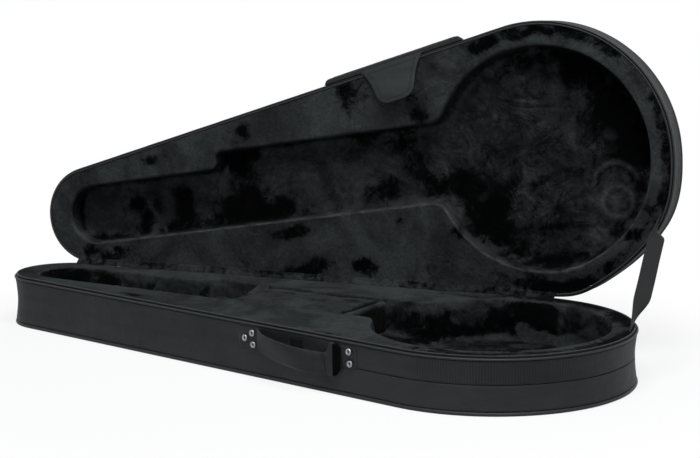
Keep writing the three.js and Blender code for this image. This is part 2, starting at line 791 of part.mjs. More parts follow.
function makeCompartment(parent) {
  const lidTop = rimTop - compartmentLidDrop;
  const lidBottom = lidTop - compartmentLidThickness;
  const ledgeTop = lidBottom - seatGap;
  const cradleEnd = cradleX + cradleLength;
  const dividerX = compartmentEndX - dividerThickness;
  const wholeWidth = [-pocketRadius - cutOverrun, channelWideSide + cutOverrun];
  const saddle = (share) => rimTop + cradleRise - (cradleRise + cradleDip) * Math.sin(Math.PI * share);
  const cradle = channelPad(cradleX, cradleEnd, saddle);
  const cradleRebate = toSolid(block([cradleEnd - ledgeWidth, wholeWidth[0], ledgeTop],
    [cradleEnd + cutOverrun, wholeWidth[1], rimTop + cutOverrun]));
  piece('neck_cradle', toGeometry(cradle.subtract(cradleRebate)), plush, parent);
  const divider = channelPad(dividerX, compartmentEndX, () => lidTop);
  const dividerRebate = toSolid(block([dividerX - cutOverrun, wholeWidth[0], ledgeTop],
    [dividerX + ledgeWidth, wholeWidth[1], rimTop + cutOverrun]));
  piece('compartment_divider', toGeometry(divider.subtract(dividerRebate)), plush, parent);

  const lidFrom = cradleEnd - ledgeWidth + padGap;
  const lidTo = dividerX + ledgeWidth - padGap;
  const lidNear = -pocketRadius + 2 * padGap;
  const lidFar = channelWideSide - 2 * padGap;
  const panel = new THREE.ExtrudeGeometry(
    roundedRectangle(lidFrom, lidNear, lidTo, lidFar, compartmentLidCorner),
    { depth: compartmentLidThickness, bevelEnabled: false, curveSegments: filletSteps });
  panel.translate(0, 0, lidBottom);
  piece('compartment_lid', panel, plush, parent);

  const tabPath = new THREE.Shape();
  const tabBase = lidTop + seatGap;
  tabPath.moveTo(lidNear + pullTabInset + pullTabLength, tabBase);
  tabPath.lineTo(lidNear + pullTabInset, tabBase + pullTabLift);
  tabPath.lineTo(lidNear + pullTabInset, tabBase + pullTabLift + pullTabThickness);
  tabPath.lineTo(lidNear + pullTabInset + pullTabLength, tabBase + pullTabThickness);
  const tab = new THREE.ExtrudeGeometry(tabPath, { depth: pullTabWidth, bevelEnabled: false });
  tab.applyMatrix4(new THREE.Matrix4().set(
    0, 0, 1, lidFrom + pullTabInset, 1, 0, 0, 0, 0, 1, 0, 0, 0, 0, 0, 1));
  piece('compartment_pull_tab', tab, webbing, parent);
}

// Security flap: its patch on the lid's wall, and the tongue that folds over the rim

function makeFlapPatch(frame) {
  const top = lidDepth - coilSetback - seatGap;
  const bottom = top - flapPatchHeight;
  const beadLow = lidDepth - rimPipingDrop - rimPipingRadius - 2 * seatGap;
  const outAt = (z) => (z > beadLow - seatGap ? 0 : wallOut(z, lidDepth, lidDrawIn));
  const half = flapPatchLength / 2;
  const stations = [
    { x: flapCentre - half, y: 0, nx: 0, ny: -1 },
    { x: flapCentre + half, y: 0, nx: 0, ny: -1 },
  ];
  const heights = [bottom, (bottom + beadLow) / 2, beadLow - flapPatchThickness, beadLow, top];
  const section = [
    ...heights.map((z) => [outAt(z) + seatGap, z]),
    ...heights.reverse().map((z) => [outAt(z) + seatGap + flapPatchThickness, z]),
  ];
  const sheet = toSolid(sweep(stations, section, false));
  const shape = roundedRectangle(flapCentre - half, bottom, flapCentre + half,
    top + flapPatchCorner, flapPatchCorner);
  const mask = new THREE.ExtrudeGeometry(shape, {
    depth: 2 * cutOverrun, bevelEnabled: false, curveSegments: filletSteps,
  });
  mask.rotateX(quarterTurn);
  mask.translate(0, cutOverrun, 0);
  piece('flap_patch', toGeometry(sheet.intersect(toSolid(mask))), nylon, frame);
}

// Half the tongue's width at a share of its length: it flares out towards its root.
function tongueHalfWidth(share) {
  return (tongueTipWidth + (tongueRootWidth - tongueTipWidth) * (1 - share) ** tongueFlare) / 2;
}

function makeFlapTongue(frame) {
  const straight = tongueLength - tongueCorner;
  const side = Array.from({ length: tongueSteps }, (_, i) => {
    const along = straight * i / tongueSteps;
    return [tongueHalfWidth(along / tongueLength), along];
  });
  const corner = arcPoints(tongueTipWidth / 2 - tongueCorner, straight, tongueCorner, 0, quarterTurn,
    2 * filletSteps);
  const right = [...side, ...corner];
  const outline = [...right, ...right.map(([x, y]) => [-x, y]).reverse()]
    .map(([x, y]) => [flapCentre + x, y - tongueAxisOut - tongueThickness / 2]);
  piece('flap_tongue', loft([
    { points: outline, z: lidDepth - tongueThickness / 2 },
    { points: outline, z: lidDepth + tongueThickness / 2 },
  ]), nylon, frame);
  const hookEnd = tongueLength - tongueAxisOut - hookTipMargin;
  piece('flap_hook_patch', block(
    [flapCentre - hookWidth / 2, hookEnd - hookLength, lidDepth - tongueThickness / 2 - hookThickness],
    [flapCentre + hookWidth / 2, hookEnd, lidDepth - tongueThickness / 2],
  ), hookAndLoop, frame);
}

// Fabric hinge: one strip that lies on the base's far wall and on the lid's, bent where they meet

function makeHingeStrip(parent) {
  const inner = seatGap;
  const outer = seatGap + hingeStripThickness;
  const turned = (out, up) => [
    out * Math.cos(openAngle) + up * Math.sin(openAngle),
    baseHeight - out * Math.sin(openAngle) + up * Math.cos(openAngle),
  ];
  const bendShare = Math.tan((Math.PI - openAngle) / 2);
  const section = [
    [inner, baseHeight - hingeStripReach],
    [outer, baseHeight - hingeStripReach],
    [outer, baseHeight - outer / bendShare],
    turned(outer, hingeStripReach),
    turned(inner, hingeStripReach),
    [inner, baseHeight - inner / bendShare],
  ];
  const from = zipRunPastHinge + sliderLength / 2 + flapClearance;
  const stations = [farWallStation(from), farWallStation(wallLength - from)];
  piece('hinge_strip', sweep(stations, section, false), nylon, parent);
}

// Zip sliders, in the far wall's frame: x along the wall, +y outwards

function farWallFrame() {
  const frame = new THREE.Group();
  frame.position.set(hingePoint.x, hingePoint.y, 0);
  frame.rotation.z = taperAngle;
  return frame;
}

function makeSlider(name, x, frame) {
  const coilOuter = coilWidth / 2 - coilInset;
  const coilInner = coilOuter - coilWidth;
  const wallInner = coilOuter + seatGap;
  const wallOuter = wallInner + sliderWall;
  const plane = baseHeight;
  const top = toSolid(block(
    [x - sliderLength / 2, coilInner, plane - coilSetback + seatGap],
    [x + sliderLength / 2, wallOuter, plane + sliderRise]));
  const side = toSolid(block(
    [x - sliderLength / 2, wallInner, plane - sliderDrop],
    [x + sliderLength / 2, wallOuter, plane + sliderRise]));
  const pinY = bailReach - bailPinRadius - sliderWall / 2;
  const pinZ = plane - bailHeight / 2;
  const cheeks = [-1, 1].map((way) => {
    const inner = x + way * bailGap / 2;
    const outer = x + way * (bailGap / 2 + bailCheek);
    return toSolid(block(
      [Math.min(inner, outer), wallOuter - sliderWall / 2, plane - sliderDrop],
      [Math.max(inner, outer), bailReach, plane - sliderDrop + bailHeight]));
  });
  const pin = toSolid(barAlongX(x - bailGap / 2 - bailCheek / 2, x + bailGap / 2 + bailCheek / 2,
    pinY, pinZ, bailPinRadius));
  piece(`${name}_zip_slider`, toGeometry(join(top, side, ...cheeks, pin)), darkMetal, frame);

  const eyeHalf = bailGap / 2 - pullClearance;
  const eye = toSolid(barAlongX(x - eyeHalf, x + eyeHalf, pinY, pinZ, pullEyeRadius));
  const hole = toSolid(barAlongX(x - bailGap, x + bailGap, pinY, pinZ, bailPinRadius + pullClearance));
  const neck = toSolid(block(
    [x - eyeHalf, pinY - pullThickness / 2, pinZ - 2 * pullEyeRadius - pullWidth / 2],
    [x + eyeHalf, pinY + pullThickness / 2, pinZ]));
  const blade = new THREE.ExtrudeGeometry(
    roundedRectangle(x - pullWidth / 2, pinZ - pullLength, x + pullWidth / 2,
      pinZ - 2 * pullEyeRadius - bailHeight / 2, pullWidth / 4),
    { depth: pullThickness, bevelEnabled: false, curveSegments: filletSteps });
  blade.rotateX(quarterTurn);
  blade.translate(0, pinY + pullThickness / 2, 0);
  piece(`${name}_zip_pull`, toGeometry(cut(join(eye, neck, toSolid(blade)), hole)), darkMetal, frame);
}

// Stay strap between the two rims at the drum end

function lidPointWhenOpen(point) {
  return point.clone().sub(hingePoint).applyAxisAngle(hingeAxis, -openAngle).add(hingePoint);
}

function rimPoint(angle, inset, z) {
  const radius = drumEndRadius - inset;
  return new THREE.Vector3(
    drumCentreX + radius * Math.cos(angle), radius * Math.sin(angle), z);
}

function makeStrap(parent) {
  const baseZ = rimTop + seatGap + strapThickness / 2;
  const lidZ = baseHeight + rimSetback - seatGap - strapThickness / 2;
  const baseAim = rimPoint(strapBaseAim, strapBaseAimInset, baseZ);
  const lidAim = lidPointWhenOpen(rimPoint(strapLidAim, strapLidAimInset, lidZ));
  const sewn = [
    [rimPoint(strapBaseFrom, strapInset, baseZ), rimPoint(strapBaseTo, strapInset, baseZ)],
    [strapLidFrom, strapLidTo].map(
      (angle) => lidPointWhenOpen(rimPoint(angle, strapInset, lidZ))),
  ];
  const along = lidAim.clone().sub(baseAim).normalize();
  const edgeAt = (share, side) => {
    const straight = (place) => baseAim.clone().lerp(lidAim, place)
      .addScaledVector(hingeAxis, side * strapWidth / 2);
    const which = side < 0 ? 0 : 1;
    const toBase = 1 - THREE.MathUtils.smoothstep(share, 0, strapBaseBend);
    const toLid = THREE.MathUtils.smoothstep(share, 1 - strapLidBend, 1);
    return straight(share)
      .addScaledVector(sewn[0][which].clone().sub(straight(0)), toBase)
      .addScaledVector(sewn[1][which].clone().sub(straight(1)), toLid);
  };
  const positions = [];
  const index = [];
  for (const share of strapShares) {
    const edges = [edgeAt(share, -1), edgeAt(share, 1)];
    const across = edges[1].clone().sub(edges[0]).normalize();
    const normal = along.clone().cross(across).normalize();
    for (const [edge, v] of [[0, -1], [1, -1], [1, 1], [0, 1]]) {
      positions.push(...edges[edge].clone().addScaledVector(normal, v * strapThickness / 2).toArray());
    }
  }
  for (let i = 0; i < strapShares.length - 1; i++) {
    for (let j = 0; j < 4; j++) {
      const a = 4 * i + j;
      const b = 4 * i + (j + 1) % 4;
      index.push(a, b, b + 4, a, b + 4, a + 4);
    }
  }
  const last = 4 * (strapShares.length - 1);
  index.push(0, 2, 1, 0, 3, 2, last, last + 1, last + 2, last, last + 2, last + 3);
  piece('stay_strap', closedGeometry(positions, index), webbing, parent);
}

// The case

const banjoCase = new THREE.Group();

const base = new THREE.Group();
const baseNearWall = nearWallFrame();
makeHalf('base', {
  depth: baseHeight,
  drawIn: baseDrawIn,
  seams: [{ height: baseSeamShare * baseHeight, below: 'lower_wall_cover' }],
  drumFloor: baseDrumFloor,
  channelFloor: baseChannelFloor,
  hingeSide: 1,
}, base, backingPockets(baseNearWall), shankHoles(baseNearWall));
makeCompartment(base);
makeHandleFittings(baseNearWall);
makeHandle(baseNearWall);
const loopTop = baseHeight - loopTopDrop;
piece('flap_loop_patch', toGeometry(wallPatch(
  flapCentre - loopWidth / 2, flapCentre + loopWidth / 2, loopTop - loopLength, loopTop,
  seatGap, loopThickness, baseWallOut, loopThickness)), hookAndLoop, baseNearWall);
base.add(baseNearWall);
const baseFarWall = farWallFrame();
makeSlider('head', zipRunPastHinge, baseFarWall);
makeSlider('drum', wallLength - zipRunPastHinge, baseFarWall);
base.add(baseFarWall);
makeHingeStrip(base);
makeStrap(base);
banjoCase.add(base);

const lidTurn = new THREE.Group();
lidTurn.position.copy(hingePoint);
lidTurn.quaternion.setFromAxisAngle(hingeAxis, -openAngle);
const lidPlace = new THREE.Group();
lidPlace.position.copy(hingePoint).negate();
const lid = new THREE.Group();
lid.rotation.x = Math.PI;
lid.position.z = baseHeight + lidDepth;
makeHalf('lid', {
  depth: lidDepth,
  drawIn: lidDrawIn,
  seams: [],
  drumFloor: lidDrumFloor,
  channelFloor: lidChannelFloor,
  hingeSide: -1,
}, lid);
lidPlace.add(lid);
lidTurn.add(lidPlace);
banjoCase.add(lidTurn);

// The wall over the handle is the lid's +Y wall, and its frame is mirrored so that the outside of
// the wall is -y there too.
const lidHandleWall = new THREE.Group();
lidHandleWall.position.set(hingePoint.x, hingePoint.y, 0);
lidHandleWall.rotation.z = taperAngle;
lidHandleWall.scale.set(1, -1, 1);
makeFlapPatch(lidHandleWall);
makeFlapTongue(lidHandleWall);
lid.add(lidHandleWall);

export default banjoCase;
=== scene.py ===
import math

import bmesh
import bpy
import numpy as np
from mathutils import Matrix, Vector, noise
from mathutils.geometry import delaunay_2d_cdt


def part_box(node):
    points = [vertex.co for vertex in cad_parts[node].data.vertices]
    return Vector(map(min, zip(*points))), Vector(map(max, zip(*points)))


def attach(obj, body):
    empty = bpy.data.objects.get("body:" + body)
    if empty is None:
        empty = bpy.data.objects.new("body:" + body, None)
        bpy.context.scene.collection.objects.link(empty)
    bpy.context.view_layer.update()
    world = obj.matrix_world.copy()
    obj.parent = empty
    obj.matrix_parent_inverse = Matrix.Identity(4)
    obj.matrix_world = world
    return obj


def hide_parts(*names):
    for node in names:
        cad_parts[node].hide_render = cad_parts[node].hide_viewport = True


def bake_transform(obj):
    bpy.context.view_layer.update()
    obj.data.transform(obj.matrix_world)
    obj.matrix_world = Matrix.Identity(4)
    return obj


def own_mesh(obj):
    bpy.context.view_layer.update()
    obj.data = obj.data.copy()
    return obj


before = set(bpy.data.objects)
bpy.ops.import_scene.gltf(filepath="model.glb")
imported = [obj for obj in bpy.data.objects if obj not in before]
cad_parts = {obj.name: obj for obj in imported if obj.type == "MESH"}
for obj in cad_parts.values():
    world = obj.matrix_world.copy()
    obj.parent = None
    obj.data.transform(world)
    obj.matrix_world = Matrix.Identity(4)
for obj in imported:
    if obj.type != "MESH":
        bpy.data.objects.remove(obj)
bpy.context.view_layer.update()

# An open soft-sided banjo case. Metres, +Z up. Each half is made in its own frame, outer face at
# z = 0 and rim upwards, and the lid's pieces are then carried to where the open lid stands.

MM = 0.001
TOTAL_LENGTH = 1120 * MM
DRUM_RADIUS = 215.5 * MM
HEAD_RADIUS = 82.4 * MM
BASE_HEIGHT = 86.2 * MM
LID_DEPTH = 56.4 * MM
OPEN_ANGLE = math.radians(93.1)
DRUM_X = TOTAL_LENGTH / 2 - DRUM_RADIUS
HEAD_X = HEAD_RADIUS - TOTAL_LENGTH / 2
TAPER = math.asin((DRUM_RADIUS - HEAD_RADIUS) / (DRUM_X - HEAD_X))
WALL_LENGTH = (DRUM_X - HEAD_X) * math.cos(TAPER)
TANGENT = math.pi / 2 + TAPER
ALONG = Vector((math.cos(TAPER), math.sin(TAPER), 0))
HINGE = Vector((HEAD_X - HEAD_RADIUS * math.sin(TAPER), HEAD_RADIUS * math.cos(TAPER), BASE_HEIGHT))
OUT_X, OUT_Y = -math.sin(TAPER), math.cos(TAPER)
NEAR_ALONG = (OUT_Y, OUT_X, 0)
NEAR_OUT = (OUT_X, -OUT_Y, 0)
TURN = math.pi / 2

RIM_SETBACK = 2 * MM
RIM_EDGE_INSET = 6.2 * MM
COVER_INSET = 1.2 * MM
COVER = 2.4 * MM
EDGE_BEAD = 3 * MM
RIM_BEAD = 1.8 * MM
RIM_BEAD_DROP = 6.4 * MM
ZIP_INSET = 4.4 * MM
GAP = 0.3 * MM
# How far the lid's drum end bulges out, at which angle round it, and over how wide an angle.
BULGES = [(4.5 * MM, 30, 15), (6.5 * MM, 82, 12)]

# Where the object is seen from: the view's size, focal length and middle in points of the view.
VIEW_SIZE = (700, 458)
VIEW_FOCAL = 1904.97
VIEW_MIDDLE = (381.6, 193.42)
VIEW_ANGLES = (-31.62, -8.36, -0.30)
EYE = (1.6484, -2.4233, 0.6823)

HALVES = {
    "base": dict(depth=BASE_HEIGHT, draw=3.6 * MM, drum_floor=22 * MM, channel_floor=32 * MM, side=1),
    "lid": dict(depth=LID_DEPTH, draw=2 * MM, drum_floor=14 * MM, channel_floor=22 * MM, side=-1),
}

to_hinge = Matrix.Translation(HINGE)
LID_TURN = to_hinge @ Matrix.Rotation(-OPEN_ANGLE, 4, ALONG) @ to_hinge.inverted()
LID_PLACE = LID_TURN @ Matrix.Translation((0, 0, BASE_HEIGHT + LID_DEPTH)) @ Matrix.Rotation(math.pi, 4, "X")
PLACE = {"base": np.eye(4), "lid": np.array(LID_PLACE)}


def smooth(x, low, high):
    t = np.clip((x - low) / (high - low), 0, 1)
    return t * t * (3 - 2 * t)


def carried(points, half):
    """Points of a half, where that half stands."""
    place = PLACE[half]
    if half == "lid":
        away = points[:, :2] - (DRUM_X, 0)
        reach = np.linalg.norm(away, axis=1)
        angle = np.degrees(np.arctan2(away[:, 1], away[:, 0]))
        pull = sum(size * np.exp(-((angle + where) / width) ** 2) for size, where, width in BULGES)
        pull *= smooth(reach / DRUM_RADIUS, 0.74, 0.95) / np.maximum(reach, 1 * MM)
        points = points + np.column_stack([away * pull[:, None], 0 * reach])
    return points @ place[:3, :3].T + place[:3, 3]


# Meshes

def linked(name, data):
    item = bpy.data.objects.new(name, data)
    bpy.context.scene.collection.objects.link(item)
    return item


def add_attribute(mesh, name, values):
    layer = mesh.attributes.new(name, "FLOAT", "POINT")
    layer.data.foreach_set("value", np.asarray(values, np.float32))


def mesh_piece(name, points, faces, material, uv=None, attributes=None):
    mesh = bpy.data.meshes.new(name)
    mesh.from_pydata(np.asarray(points).tolist(), [], faces)
    mesh.validate()
    if uv is not None:
        mesh.uv_layers.new(name="UVMap").data.foreach_set("uv", np.asarray(uv, np.float32).ravel())
    for key, values in (attributes or {}).items():
        add_attribute(mesh, key, values)
    mesh.materials.append(material)
    piece = linked(name, mesh)
    outward(mesh)
    mesh.shade_smooth()
    return piece


def outward(mesh):
    edit = bmesh.new()
    edit.from_mesh(mesh)
    bmesh.ops.recalc_face_normals(edit, faces=edit.faces)
    edit.to_mesh(mesh)
    edit.free()


def corners(mesh):
    return np.array([v.co for v in mesh.vertices])


def placed(piece, body, nodes):
    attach(piece, body)
    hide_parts(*nodes)


def soft_edges(piece, angle=40):
    piece.data.shade_smooth()
    piece.data.set_sharp_from_angle(angle=math.radians(angle))


def lengths(points):
    """How far each point lies along a line of points."""
    return np.concatenate([[0], np.cumsum(np.linalg.norm(np.diff(points, axis=0), axis=1))])


def band(low, high):
    """Faces between two closed rings of point numbers."""
    count = len(low)
    return [(low[i], low[(i + 1) % count], high[(i + 1) % count], high[i]) for i in range(count)]


def both_sides(faces, count, edge):
    """Faces of a sheet, of its back, whose points come count later, and of the edge between them."""
    back = [tuple(i + count for i in reversed(face)) for face in faces]
    return faces + back + band(edge, [i + count for i in edge])


def tube(u, v, cap, closed=False):
    """Faces and texture places of rows of rings: u along the rows, v round a ring, cap at each end."""
    count, rows = len(v) - 1, len(u) - closed
    rings = [range(r * count, (r + 1) * count) for r in range(rows)]
    faces, uv = [], []
    for r in range(len(u) - 1):
        faces += band(rings[r], rings[(r + 1) % rows])
        for j in range(count):
            uv += [(u[r], v[j]), (u[r], v[j + 1]), (u[r + 1], v[j + 1]), (u[r + 1], v[j])]
    for ring in [] if closed else [rings[0], rings[-1]]:
        faces.append(tuple(ring))
        uv += cap
    return faces, uv


def ringed(points, rows):
    """Faces and texture places of rows of equal rings of points, with both ends closed."""
    rings = np.reshape(points, (rows, -1, 3))
    v = lengths(np.vstack([rings[0], rings[0][:1]]))
    return tube(lengths(rings.mean(axis=1)), v, [(place, place) for place in v[:-1]])


def swept(name, route, section, material, closed=True, shape=None, half="base"):
    """Sections of [out, z] carried along stations (x, y, outward x, outward y, run)."""
    points = np.empty((len(route), len(section), 3))
    points[:, :, 0] = route[:, 0:1] + route[:, 2:3] * section[:, 0]
    points[:, :, 1] = route[:, 1:2] + route[:, 3:4] * section[:, 0]
    points[:, :, 2] = section[:, 1]
    if shape:
        points = shape(points, route)
    u = route[:, 4]
    if closed:
        u = np.append(u, u[-1] + np.linalg.norm(route[-1, :2] - route[0, :2]))
    v = lengths(np.vstack([section, section[:1]]))
    faces, uv = tube(u, v, [tuple(point) for point in section], closed)
    return mesh_piece(name, carried(points.reshape(-1, 3), half), faces, material, uv)


# Plan of the case: a large round end and a small one, joined by two tangents

ZIP_PAST_HINGE = 52 * MM


def straight(a, b, step):
    """Points between two others, about a step apart."""
    count = max(1, round(np.linalg.norm(b[:2] - a[:2]) / step))
    return a + (b - a) * np.linspace(0, 1, count + 1)[1:-1, None]


def arc(x, radius, start, end, step):
    count = max(4, round(abs(end - start) * radius / step))
    angle = np.linspace(start, end, count + 1)
    return np.stack([x + radius * np.cos(angle), radius * np.sin(angle), np.cos(angle), np.sin(angle)], 1)


def bow(x, y, radius, start, end, step=5 * MM, least=4):
    count = max(least, math.ceil(abs(end - start) * max(radius, step) / step))
    angle = np.linspace(start, end, count + 1)
    return np.stack([x + radius * np.cos(angle), y + radius * np.sin(angle)], 1)


def joined(bows, step):
    """A closed ring of bows with straight runs between them."""
    points = []
    for i, piece in enumerate(bows):
        points += [piece, straight(piece[-1], bows[(i + 1) % len(bows)][0], step)]
    return np.vstack(points)


def with_runs(route):
    return np.column_stack([route, lengths(route[:, :2])])


def round_ends(step):
    return (arc(DRUM_X, DRUM_RADIUS, TANGENT, -TANGENT, step),
            arc(HEAD_X, HEAD_RADIUS, -TANGENT, TANGENT - 2 * math.pi, step))


def plan(step):
    return with_runs(joined(round_ends(step), step))


def plan_ring(out, step=5 * MM):
    route = plan(step)
    return route[:, :2] + route[:, 2:4] * out


def far_wall(along):
    return np.array([HINGE.x + ALONG.x * along, HINGE.y + ALONG.y * along, OUT_X, OUT_Y])


def zip_route(step, side):
    start, end = far_wall(WALL_LENGTH - ZIP_PAST_HINGE), far_wall(ZIP_PAST_HINGE)
    drum, head = round_ends(step)
    route = np.vstack([start, straight(start, drum[0], step), drum, straight(drum[-1], head[0], step), head,
                       straight(head[-1], end, step), end])
    route[:, [1, 3]] *= side
    return with_runs(route)


def far_point(along, out, z):
    """A point on the far wall of either half, by run, distance out and height."""
    return HINGE.x + ALONG.x * along + OUT_X * out, HINGE.y + ALONG.y * along + OUT_Y * out, z


def near_point(along, out, z):
    x, y, z = far_point(along, out, z)
    return x, -y, z


def circle(radius, sides, out=0.0, z=0.0, start=0.0):
    angle = start + np.linspace(0, 2 * math.pi, sides, endpoint=False)
    return np.stack([out + radius * np.cos(angle), z + radius * np.sin(angle)], 1)


# Fields over points

def waves(points, size, seed, octaves=3):
    """Long smooth waves, the same on every run: a sum of sine waves in fixed directions."""
    rng = np.random.default_rng(seed)
    total = np.zeros(len(points))
    for octave in range(octaves):
        for _ in range(5):
            direction = rng.normal(size=3)
            direction /= np.linalg.norm(direction)
            total += np.sin(points @ direction * (2 ** octave) * 2 * math.pi / size
                            + rng.uniform(0, 2 * math.pi)) / 5 / 1.7 ** octave
    return total


def shifted(points, size, seed):
    shift = Vector((seed * 1.7, seed * 0.6, seed * 2.3))
    return [Vector(p) / size + shift for p in points]


def ridges(points, size, seed):
    """Creases: sharp valleys between soft mounds."""
    return np.array([noise.turbulence(place, 3, True, noise_basis="PERLIN_ORIGINAL")
                     for place in shifted(points, size, seed)]) - 0.45


def facets(points, size, seed):
    """Flat facets between folds: a number from 0 to 1 for each, and how far a point is from its edge.
    The vector noise that bends them starts anew each time, so the folds differ from run to run."""
    value, middle = [], []
    for place in shifted(points, size, seed):
        place += 0.35 * noise.noise_vector(place * 1.3)
        distances, centres = noise.voronoi(place)
        value.append(0.5 + 0.5 * math.sin(centres[0].x * 12.9 + centres[0].y * 78.2 + centres[0].z * 37.7))
        middle.append(min(1, (distances[1] - distances[0]) * 2))
    return np.array(value), np.array(middle)


# Materials

def toned(tone, factor):
    return tuple(factor * c for c in tone)


class Looks:
    """A material's node tree, with short ways to add nodes to it."""

    def __init__(self, name):
        self.material = bpy.data.materials.new(name)
        self.material.use_nodes = True
        self.tree = self.material.node_tree
        self.shader = self.tree.nodes["Principled BSDF"]

    def add(self, kind, inputs=None, **props):
        item = self.tree.nodes.new(kind)
        for key, value in props.items():
            setattr(item, key, value)
        for key, value in (inputs or {}).items():
            self.put(item.inputs[key], value)
        return item

    def put(self, socket, value):
        if isinstance(value, bpy.types.NodeSocket):
            self.tree.links.new(value, socket)
        else:
            socket.default_value = value

    def set(self, **inputs):
        for key, value in inputs.items():
            self.put(self.shader.inputs[key.replace("_", " ")], value)

    def place(self):
        return self.add("ShaderNodeTexCoord").outputs["Object"]

    def route(self):
        return self.add("ShaderNodeUVMap", uv_map="UVMap").outputs[0]

    def attribute(self, name):
        return self.add("ShaderNodeAttribute", attribute_name=name).outputs["Fac"]

    def cloud(self, source, scale, detail=4, roughness=0.55, distortion=0.0, stretch=None):
        if stretch:
            source = self.add("ShaderNodeMapping", {"Vector": source, "Scale": stretch}).outputs[0]
        return self.add("ShaderNodeTexNoise", {
            "Vector": source, "Scale": scale, "Detail": detail, "Roughness": roughness,
            "Distortion": distortion}).outputs["Fac"]

    def bars(self, source, direction, **inputs):
        item = self.add("ShaderNodeTexWave", {"Vector": source} | inputs, bands_direction=direction)
        return item.outputs["Fac"]

    def ramp(self, source, *stops):
        item = self.add("ShaderNodeValToRGB", {"Fac": source})
        item.color_ramp.interpolation = "EASE"
        while len(item.color_ramp.elements) < len(stops):
            item.color_ramp.elements.new(0.5)
        for element, (position, value) in zip(item.color_ramp.elements, stops):
            element.position = position
            element.color = (value, value, value, 1)
        return item.outputs["Color"]

    def math(self, operation, a, b=0.0, clamp=False):
        return self.add("ShaderNodeMath", {0: a, 1: b}, operation=operation, use_clamp=clamp).outputs[0]

    def times(self, a, b, clamp=False):
        return self.math("MULTIPLY", a, b, clamp)

    def total(self, *parts):
        """The sum of fields, each with its factor."""
        result = self.times(*parts[0])
        for field, factor in parts[1:]:
            result = self.math("ADD", result, self.times(field, factor))
        return result

    def mix(self, share, a, b, blend="MIX"):
        item = self.add("ShaderNodeMix", data_type="RGBA", blend_type=blend)
        for key, value in (("Factor", share), ("A", a), ("B", b)):
            given = value if isinstance(value, (float, bpy.types.NodeSocket)) else (*value, 1)
            for socket in item.inputs:
                if socket.name == key and socket.enabled:
                    self.put(socket, given)
        return next(s for s in item.outputs if s.enabled)

    def shaded(self, shade, source, *stops):
        """A colour made darker and lighter by a field, through a ramp."""
        return self.mix(1.0, shade, self.ramp(source, *stops), "MULTIPLY")

    def varied(self, field, spread, tone, low, high):
        """A colour that goes from low to high times a tone, as a field goes from end to end of a spread."""
        share = self.ramp(field, (spread[0], 0.0), (spread[1], 1.0))
        return self.mix(share, toned(tone, low), toned(tone, high))

    def bump(self, *layers):
        normal = None
        for height, distance in layers:
            item = self.add("ShaderNodeBump", {"Height": height, "Distance": distance, "Strength": 1.0})
            if normal:
                self.put(item.inputs["Normal"], normal)
            normal = item.outputs[0]
        self.set(Normal=normal)


NYLON_TONE = (0.0185, 0.0208, 0.0222)
PILE_DARK = (0.0008, 0.00088, 0.00093)
PILE_LIGHT = (0.029, 0.0325, 0.0338)
PILE_HIGHLIGHT_AND_WEAR = (0.058, 0.063, 0.066)
WEBBING_TONE = (0.0085, 0.0094, 0.01)


def plush_look():
    """Crushed plush: the pile lies one way or another in patches with torn edges, dark or lighter.
    Attributes say where it is crushed and where painted shade darkens the recess, where a painted highlight
    lights an edge or the pile is worn, and which way the pile lies, with painted shade and shadows laid over
    it."""
    looks = Looks("plush")
    place = looks.place()
    wide = looks.cloud(place, 9.0, 7, 0.66, 1.4, stretch=(1.0, 1.0, 1.2))
    torn = looks.cloud(place, 30.0, 8, 0.74, 2.2, stretch=(1.2, 1.0, 1.0))
    fine = looks.cloud(place, 120.0, 5, 0.7, 0.8)
    drift = looks.cloud(place, 7.0, 6, 0.68, 1.6)
    mottle = looks.cloud(place, 17.0, 8, 0.72, 2.2, stretch=(1.0, 1.0, 1.4))
    pile = looks.cloud(place, 850.0, 2)
    tuft = looks.cloud(place, 190.0, 3, 0.6)
    crush_and_shade, edge, nap_and_shade = (looks.attribute(key) for key in ("crush_and_shade", "edge", "nap_and_shade"))
    height = looks.total((wide, 0.6), (torn, 0.62), (fine, 0.16), (crush_and_shade, -0.05), (nap_and_shade, 0.115))
    height = looks.math("SUBTRACT", height, 0.13)
    patch_share = looks.ramp(height, (0.33, 0.0), (0.4, 0.16), (0.46, 0.55), (0.54, 0.86), (0.66, 1.0))
    lit = looks.varied(drift, (0.36, 0.64), PILE_LIGHT, 0.6, 1.3)
    deep_light = looks.shaded(lit, mottle, (0.36, 0.16), (0.5, 0.55), (0.64, 1.15))
    lit = looks.mix(looks.times(crush_and_shade, 0.9), lit, deep_light)
    shade = looks.mix(patch_share, PILE_DARK, lit)
    # Painted highlight where the recess's edges catch the light, and the worn rings pressed in the pile.
    shade = looks.mix(looks.times(edge, 0.85, True), shade, PILE_HIGHLIGHT_AND_WEAR)
    shade = looks.shaded(shade, pile, (0.3, 0.72), (0.7, 1.22))
    shade = looks.shaded(shade, tuft, (0.3, 0.86), (0.7, 1.12))
    looks.set(Base_Color=shade, Roughness=1.0, Sheen_Weight=0.03, Sheen_Roughness=0.5,
              Sheen_Tint=(0.78, 0.83, 0.85, 1), Specular_IOR_Level=0.0)
    looks.bump((pile, 0.0006), (tuft, 0.0008), (torn, 0.003))
    return looks.material


